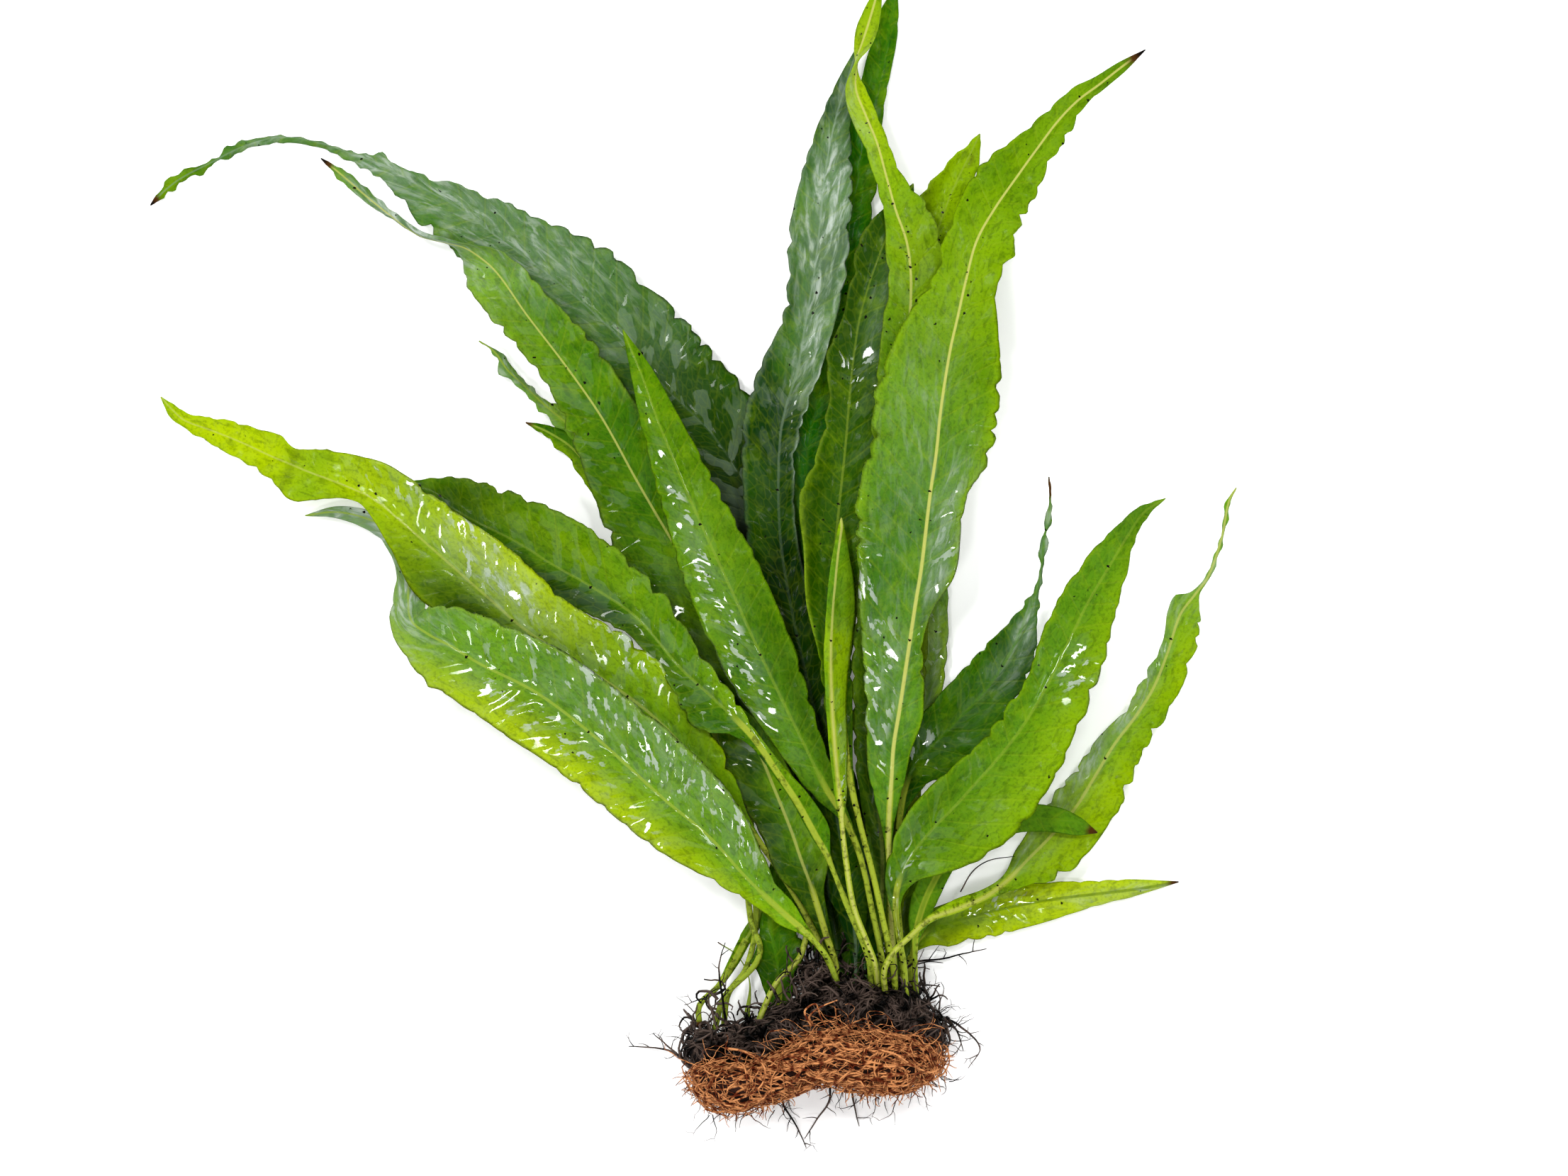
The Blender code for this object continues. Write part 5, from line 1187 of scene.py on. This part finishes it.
def jitter(rng, *spreads):
    return Vector([rng.gauss(0, spread) for spread in spreads])


def pick(rng, shares):
    return rng.choices(range(len(shares)), weights=shares)[0]


def raised(point, make):
    point.z = max(point.z, make["lowest"])
    return point


def spotPicker(piece, rng):
    # picks points evenly over a piece, with the way that it faces there
    spots, running, total = [], [], 0.0
    for face in piece.data.polygons:
        total += face.area
        spots.append((face.center.copy(), face.normal.copy()))
        running.append(total)
    return lambda: rng.choices(spots, cum_weights=running)[0]


def crawl(tree, start, heading, rng, make, curl, tallest):
    # a strand that follows a surface on a steady bend, and may lift off at its end
    place = start
    points = []
    count = rng.randint(*make["steps"])
    lifts = rng.random() < make["frayed"]
    steady = rng.gauss(0, curl)
    height = make["hover"] * rng.random() ** 1.6 * tallest
    for k in range(count):
        nearest, normal, _, _ = tree.find_nearest(place)
        hover = height * (0.5 + 0.5 * math.sin(math.pi * k / (count - 1)))
        if lifts and k > count - 5:
            hover += make["fray"] * (k - count + 5) / 4 * rng.uniform(0.5, 1.0)
        points.append(raised(nearest + normal * hover, make))
        heading = heading - normal * heading.dot(normal)
        heading.normalize()
        heading.rotate(Quaternion(normal, steady + rng.gauss(0, make["bend"])))
        place = nearest + heading * make["stride"]
    return points


def coat(piece, rng, make):
    # strands that lie over the whole piece, in locks of like colour
    corners = [v.co.copy() for v in piece.data.vertices]
    tree = BVHTree.FromPolygons(corners, [tuple(face.vertices) for face in piece.data.polygons])
    spot = spotPicker(piece, rng)
    strands = []
    while len(strands) < make["count"]:
        start, normal = spot()
        if normal.z < -0.3 or (normal.z < 0.3 and rng.random() < make["bareSides"]):
            continue
        heading = Vector((rng.choice((-1, 1)), *jitter(rng, make["stray"], make["stray"])))
        lock = noise.noise(start * make["lockScale"])
        shares = zip(make["shares"], make["tones"])
        finish = pick(rng, [share * math.exp(tone * lock) for share, tone in shares])
        if start.y > make["dark"] + make["darkLean"] * start.x and rng.random() < make["darkShare"]:
            finish = make["darkest"]
        curl = make["endCurl"] if abs(start.x) > make["endAt"] else make["curl"]
        points = crawl(tree, start, heading, rng, make, curl, make["layers"][finish])
        thick = rng.uniform(*make["thick"])
        strands.append((points, taper(len(points), thick, 0.45 * thick), finish))
    return strands


def frayedEnds(piece, rng, make):
    # cut fibre ends that stand out of the sides
    spot = spotPicker(piece, rng)
    strands = []
    while len(strands) < make["count"]:
        start, normal = spot()
        if abs(normal.z) > make["topLimit"] or normal.y > make["backLimit"]:
            continue
        heading = (normal + jitter(rng, *make["spray"])).normalized()
        points = [start - normal * make["rooted"]]
        for _ in range(rng.randint(*make["steps"])):
            heading = (heading + jitter(rng, *make["bend"])).normalized()
            points.append(raised(points[-1] + heading * make["stride"], make))
        thick = rng.uniform(*make["thick"])
        strands.append((points, taper(len(points), thick, 0.4 * thick), pick(rng, make["shares"])))
    return strands


def tangle(rng, make):
    # loose curly strands that fill the hollows between the stems, kept near their clump
    strands = []
    for (x, y, z), (wide, deep, high), count in make["clumps"]:
        middle = Vector((x, y, z)) * mm
        for _ in range(count):
            place = middle + jitter(rng, wide, deep, high) * mm * 0.6
            heading = jitter(rng, *make["aim"]).normalized()
            turn = jitter(rng, 0.4, 0.4, 1).normalized()
            points = [place]
            for _ in range(rng.randint(*make["steps"])):
                away = points[-1] - middle
                pull = Vector((away.x / wide, away.y / deep, away.z / high)) / mm
                swirl = heading.cross(turn) * rng.uniform(0.0, make["swirl"])
                heading = heading - pull * make["pull"] + swirl
                heading = (heading + jitter(rng, *make["bend"])).normalized()
                points.append(raised(points[-1] + heading * make["stride"], make))
            thick = rng.uniform(*make["thick"])
            strands.append((points, taper(len(points), thick, 0.5 * thick), pick(rng, make["shares"])))
    return strands


def branching(start, heading, rng, make, depth=0):
    # a wiry root with side roots, in free air
    points = [start]
    count = rng.randint(*make["steps"])
    shoots = []
    for k in range(count):
        heading = (heading + jitter(rng, *make["bend"])).normalized()
        point = raised(points[-1] + heading * make["stride"], make)
        points.append(point)
        if depth < 1 and k > 1 and rng.random() < make["fork"]:
            aside = heading.copy()
            aside.rotate(Quaternion(up, rng.choice((-1, 1)) * rng.uniform(*make["turn"])))
            shoots += branching(point, aside, rng, make | {"steps": make["shootSteps"]}, depth + 1)
    thick = make["thick"] * (make["shootThick"] if depth else 1)
    return [(points, taper(len(points), thick, 0.3 * thick), rng.randrange(make["finishes"]))] + shoots


plugFibres = {
    "count": 760, "steps": (6, 17), "stride": 1.0 * mm, "bend": 0.1, "stray": 0.24, "lowest": 0.28 * mm,
    "curl": 0.08, "endAt": 15.0 * mm, "endCurl": 0.17,  # past this far from the middle it curls more
    "hover": 2.4 * mm, "layers": (1.0, 1.0, 1.2, 0.95),  # how high each finish may lie over the core
    "frayed": 0.3, "fray": 2.2 * mm, "thick": (0.11 * mm, 0.29 * mm), "bareSides": 0.7,
    "shares": (3.4, 4.6, 1.6, 5.4), "lockScale": 240.0, "tones": (3.0, -1.0, 4.0, -5.0),
    # behind a slanting line across the top, most fibres take the darkest finish
    "dark": -2.0 * mm, "darkLean": 0.16, "darkest": 3, "darkShare": 0.7,
}
plugEnds = {
    "count": 400, "steps": (5, 13), "stride": 0.5 * mm, "rooted": 0.5 * mm, "lowest": 0.28 * mm,
    "spray": (0.8, 0.3, 0.4), "bend": (0.25, 0.25, 0.2),  # along x, y and z
    "topLimit": 0.75, "backLimit": 0.3,  # none where the plug faces up or back by more than this
    "thick": (0.1 * mm, 0.22 * mm), "shares": (5, 3, 2.6, 1.6),
}
plugLoops = {
    # pale fibres that spring off the top, in mm
    "left": [
        (-20, 3.2, 27), (-16, 2.6, 28.6), (-12.8, 0.8, 29.2), (-11.2, -1.6, 29.2), (-12, -4.8, 29.1),
        (-15, -7.2, 28.6), (-19.2, -8.8, 27.4),
    ],
    "middle": [(-0.6, 8.4, 24), (-1.4, 10.2, 26), (0.8, 12.2, 26.4), (4.8, 13.8, 25)],
    "curl": [(-1, 8, 24), (-2.4, 11.4, 25.6), (0, 13, 26), (1, 10.4, 25.8), (2.2, 8, 24)],
    "right": [(14, 3, 28), (18, 1.8, 28.6), (22, -0.8, 28.2), (25.6, -2.2, 26.4), (28.4, -1.2, 22)],
}
plugStrays = {
    # coir that strays over the lower edge of the roots: where, how far it spreads in x, y and z,
    # in mm, and how many strands
    "clumps": [
        ((-4, 4, 26), (7, 1.2, 0.6), 30), ((5, 7, 26), (9, 1, 0.6), 44), ((17, 6.6, 25.6), (8, 1, 0.6), 24),
        ((-17, -0.4, 26.4), (8, 1.2, 0.5), 24), ((2, 10.4, 24.6), (4, 2, 0.8), 6),
    ],
    "steps": (8, 16), "stride": 0.7 * mm, "bend": (0.18,) * 3, "lowest": 0.3 * mm, "swirl": 0.16,
    "pull": 0.05, "aim": (1, 0.3, 0.06), "thick": (0.05 * mm, 0.12 * mm), "shares": (2, 5, 1, 5),
}
rootMat = {
    "count": 480, "steps": (8, 18), "stride": 1.0 * mm, "bend": 0.2, "stray": 1.2, "lowest": 0.3 * mm,
    "curl": 0.2, "endAt": 1.0, "endCurl": 0.0, "hover": 2.4 * mm, "layers": (1.0, 1.1, 1.2),
    "frayed": 0.25, "fray": 1.8 * mm, "thick": (0.14 * mm, 0.4 * mm), "bareSides": 0.2,
    "shares": (5.4, 2.8, 1.0), "lockScale": 200.0, "tones": (-1.0, 2.0, 3.0),
    "dark": 0.0, "darkLean": 0.16, "darkest": 0, "darkShare": 0.6,
}
rootClumps = {
    # as the clumps of plugStrays
    "clumps": [
        ((-27.5, 8, 8), (0.8, 1, 2), 9), ((-24, 4, 12), (3.4, 1.4, 4), 24),
        ((-22.4, 13, 14), (0.8, 2.6, 2), 8), ((-15, 5.4, 12), (4, 1.6, 4), 40),
        ((-9, 8.4, 9), (3, 2, 4), 40),
        ((0, 16.4, 8), (3.4, 3, 3.4), 70), ((8, 17.4, 7), (4, 3, 3), 80), ((15, 16.6, 7), (4, 3, 3), 70),
        ((21, 14, 7), (3, 2.6, 3.4), 50), ((25, 9.4, 9), (1.6, 2.6, 4), 36),
        ((3, 12.4, 19.4), (8, 2.4, 1.4), 90), ((20, 9.6, 18), (5, 2.4, 1.6), 60),
        ((-12, 4.6, 19), (8, 1.6, 1.6), 70), ((4, 23, 4), (6, 3.4, 1.6), 70),
        ((16, 21, 4), (4, 3, 1.4), 40), ((1, 20, 13), (3, 2.4, 3), 30), ((9, 17.6, 17), (5, 2, 2), 24),
    ],
    "steps": (6, 13), "stride": 0.85 * mm, "bend": (0.2,) * 3, "lowest": 0.3 * mm, "swirl": 0.14,
    "pull": 0.09, "aim": (1, 1, 0.6), "thick": (0.14 * mm, 0.42 * mm), "shares": (5.4, 2.8, 1.0),
}
rng = random.Random(11)
loops = [routed(rows, 24, 0.26 * mm, 0.16 * mm, 2) for rows in plugLoops.values()]
strandPieces = {
    "plug_fibres": ("coir_plug", coat(plug, rng, plugFibres), coirs),
    "plug_fibre_ends": ("coir_plug", frayedEnds(plug, rng, plugEnds) + loops, coirs),
    "plug_strays": ("coir_plug", tangle(rng, plugStrays), coirs),
    "rhizome_root_mat": ("rhizome", coat(rhizome, rng, rootMat), roots),
    "rhizome_root_clumps": ("rhizome", tangle(rng, rootClumps), roots),
}
for name, (node, strands, finishes) in strandPieces.items():
    standFor(strandPiece(name, strands, finishes), node)
    print(name, "has", len(strands), "strands")

# the longest loose roots, from inside the rhizome or the plug to their tips, in mm
rootRows = {
    "root_right_long": [(19, 15, 4.6), (21.5, 20.8, 2.4), (29, 22.2, 1.8), (38.7, 24.3, 1)],
    "root_right_hook": [(27, 10, 8), (32, 7.4, 5), (37.2, 2, 1.4), (34.6, -2.6, 0.8)],
    "root_right_short": [(27, 10, 12), (31, 7.4, 11), (33.4, 1.6, 5)],
    "root_left_branch": [(-20, 8, 16), (-21, 15.4, 19), (-21.6, 21, 17), (-20.2, 26.2, 14)],
    "root_left_upper": [(-22, 7, 15), (-24.6, 13.4, 15.4), (-29.4, 12, 11)],
    "root_left_long": [(-27, -3, 5), (-33, 1.4, 2.6), (-42, 2.3, 0.9)],
    "root_left_short": [(-27, -3, 9), (-32, 1.6, 7), (-36.6, 5.4, 4)],
    "root_below_left": [(-8, -6, 5), (-7.2, -10.6, 2.6), (-4.6, -15, 1.2), (-2, -20.6, 0.8)],
    "root_below_middle": [(3, -3, 7), (3.2, -9.6, 4.6), (0.4, -14, 3.6), (-2.4, -18.4, 2.8)],
    "root_below_right": [(8, -4, 5), (8.8, -11, 2.2), (9.9, -15.8, 1)],
}
rootMake = {
    "spacing": 1.1 * mm, "wiggle": 0.18 * mm, "wiggleScale": 400.0, "radius": 0.3 * mm, "tip": 0.1 * mm,
    "twigEvery": 3, "twigTurn": (0.7, 1.3),
}
twigMake = {
    "steps": (3, 6), "stride": 0.7 * mm, "fork": 0.2, "thick": 0.12 * mm, "lowest": 0.3 * mm, "finishes": 2,
    "bend": (0.22, 0.22, 0.12), "turn": (0.6, 1.1),  # where it forks, in radians
    "shootSteps": (2, 5), "shootThick": 0.55,  # of a side root
}


def wiggled(point):
    # moved a little, each way by noise of its own
    places = [point * rootMake["wiggleScale"] + Vector((9.3 * axis, 0, 0)) for axis in range(3)]
    return point + Vector([noise.noise(place) for place in places]) * rootMake["wiggle"]


def looseRoot(name, rows, rng):
    path = RowPath(inMetres(rows))
    count = max(6, round(path.length / rootMake["spacing"]))
    points = [wiggled(point) for point in path.points(count)]
    strands = [(points, taper(len(points), rootMake["radius"], rootMake["tip"]), 0)]
    for k in range(count // 3, count, rootMake["twigEvery"]):
        aside = (points[k + 1] - points[k]).normalized()
        aside.rotate(Quaternion(up, rng.choice((-1, 1)) * rng.uniform(*rootMake["twigTurn"])))
        strands += branching(points[k], aside, rng, twigMake)
    return strandPiece(name + "_twigs", strands, roots[:2])


for name, rows in rootRows.items():
    standFor(looseRoot(name, rows, rng), name)

# short wiry roots that stand out round the crown and the plug: where from, which way, how many,
# and how far along x they start from each other, in mm
fringes = [
    ((-27, 5, 11), (-1, 0.5, -0.1), 8, 1.6), ((-22, 10, 13), (-0.5, 1, 0), 3, 2),
    ((26, 9, 12), (1, 0.3, -0.2), 8, 1.6), ((23, 14, 12), (0.8, 1, 0), 4, 1.6),
    ((28, 4, 8), (1, -0.4, -0.2), 8, 2), ((28, -4, 6), (1, -0.6, -0.2), 5, 2),
    ((-26, -8, 6), (-0.8, -0.8, -0.2), 8, 3), ((-18, -12, 6), (-0.1, -1, -0.2), 12, 4),
    ((-8, -9.4, 6), (0.3, -1, -0.2), 6, 3), ((4, -6.6, 6), (0, -1, -0.2), 7, 5),
    ((14, -8.6, 6), (0.2, -1, -0.2), 7, 5), ((24, -7, 6), (0.4, -1, -0.2), 5, 3),
    ((0, 19, 18), (0.1, 1, 0.3), 8, 6), ((-12, 8, 14), (-0.2, 1, 0.2), 3, 4),
]
fringeMake = twigMake | {"steps": (3, 8), "stride": 0.8 * mm, "fork": 0.14}
wisps = {
    # lone fibres that cross the gaps beside the stems, in mm
    "gap": [(32.6, 37.4, 9), (35.4, 42, 8), (39, 44.4, 8), (44.8, 45.4, 9)],
    "low": [(22.4, 21, 9), (25.6, 21.6, 6), (28.8, 21.2, 3)],
    "sheath": [(23, 14, 14), (22.2, 19, 13), (24.4, 24.6, 9)],
}
fringeStrands = []
for (x, y, z), heading, count, spread in fringes:
    for _ in range(count):
        start = Vector((x + rng.gauss(0, spread), y + rng.gauss(0, 0.8), z + rng.uniform(-5, 5))) * mm
        aim = (Vector(heading) + jitter(rng, 0.4, 0.4, 0.15)).normalized()
        fringeStrands += branching(start, aim, rng, fringeMake)
fringeStrands += [routed(rows, 20, 0.17 * mm, 0.08 * mm, 1) for rows in wisps.values()]
fringe = strandPiece("root_fringe", fringeStrands, roots)
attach(fringe, "root")
print("loose roots and fringe laid")

# stage: a pale floor, soft studio light and a camera straight above

stageMake = {
    "cameraAt": (-7.04 * mm, 105.68 * mm, 2.0), "sensor": 36.0, "frameWidth": 353.92 * mm,
    "lightsAim": (-7.0 * mm, 100.0 * mm, 0.0), "floorSize": 6.0, "worldLight": 0.14,
    "floor": {
        "Base Color": (0.97, 0.97, 0.97, 1.0), "Roughness": 0.9, "Specular IOR Level": 0.1,
        "Emission Color": white, "Emission Strength": 0.16,
    },
}
# each light: place in metres, size, watts
lights = {
    "window_left": ((-1.5, 0.7, 1.15), 1.0, 17.6),
    "window_top": ((0.3, 1.75, 1.15), 1.0, 15.2),
    "window_right": ((1.55, 0.0, 1.1), 1.0, 14.0),
    "window_front": ((-0.2, -1.5, 1.15), 1.0, 11.8),
    "glint": ((-0.34, 0.42, 1.15), 0.17, 6.0),
    "glint_right": ((0.26, 0.34, 1.2), 0.13, 3.2),
    "glint_front": ((-0.2, -0.26, 1.2), 0.13, 3.2),
}
for name, (place, size, watts) in lights.items():
    lamp = bpy.data.lights.new(name, "AREA")
    lamp.shape = "SQUARE"
    lamp.size = size
    lamp.energy = watts
    lampObject = addObject(name, lamp)
    lampObject.location = place
    aim = Vector(stageMake["lightsAim"]) - Vector(place)
    lampObject.rotation_euler = aim.to_track_quat("-Z", "Y").to_euler()

floorMesh = bmesh.new()
bmesh.ops.create_grid(floorMesh, x_segments=1, y_segments=1, size=stageMake["floorSize"])
floorData = bpy.data.meshes.new("floor")
floorMesh.to_mesh(floorData)
floorMesh.free()
floorData.materials.append(newMaterial("floor_paper", stageMake["floor"])[0])
floor = addObject("floor", floorData)

world = bpy.data.worlds.new("studio")
world.use_nodes = True
background = world.node_tree.nodes["Background"].inputs
background["Color"].default_value = white
background["Strength"].default_value = stageMake["worldLight"]
bpy.context.scene.world = world
bpy.context.scene.view_settings.view_transform = "Standard"

camera = bpy.data.cameras.new("camera")
camera.sensor_width = stageMake["sensor"]
camera.lens = stageMake["sensor"] * stageMake["cameraAt"][2] / stageMake["frameWidth"]
camera.clip_end = 20.0
cameraObject = addObject("camera", camera)
cameraObject.location = stageMake["cameraAt"]
bpy.context.scene.camera = cameraObject
print("stage set")
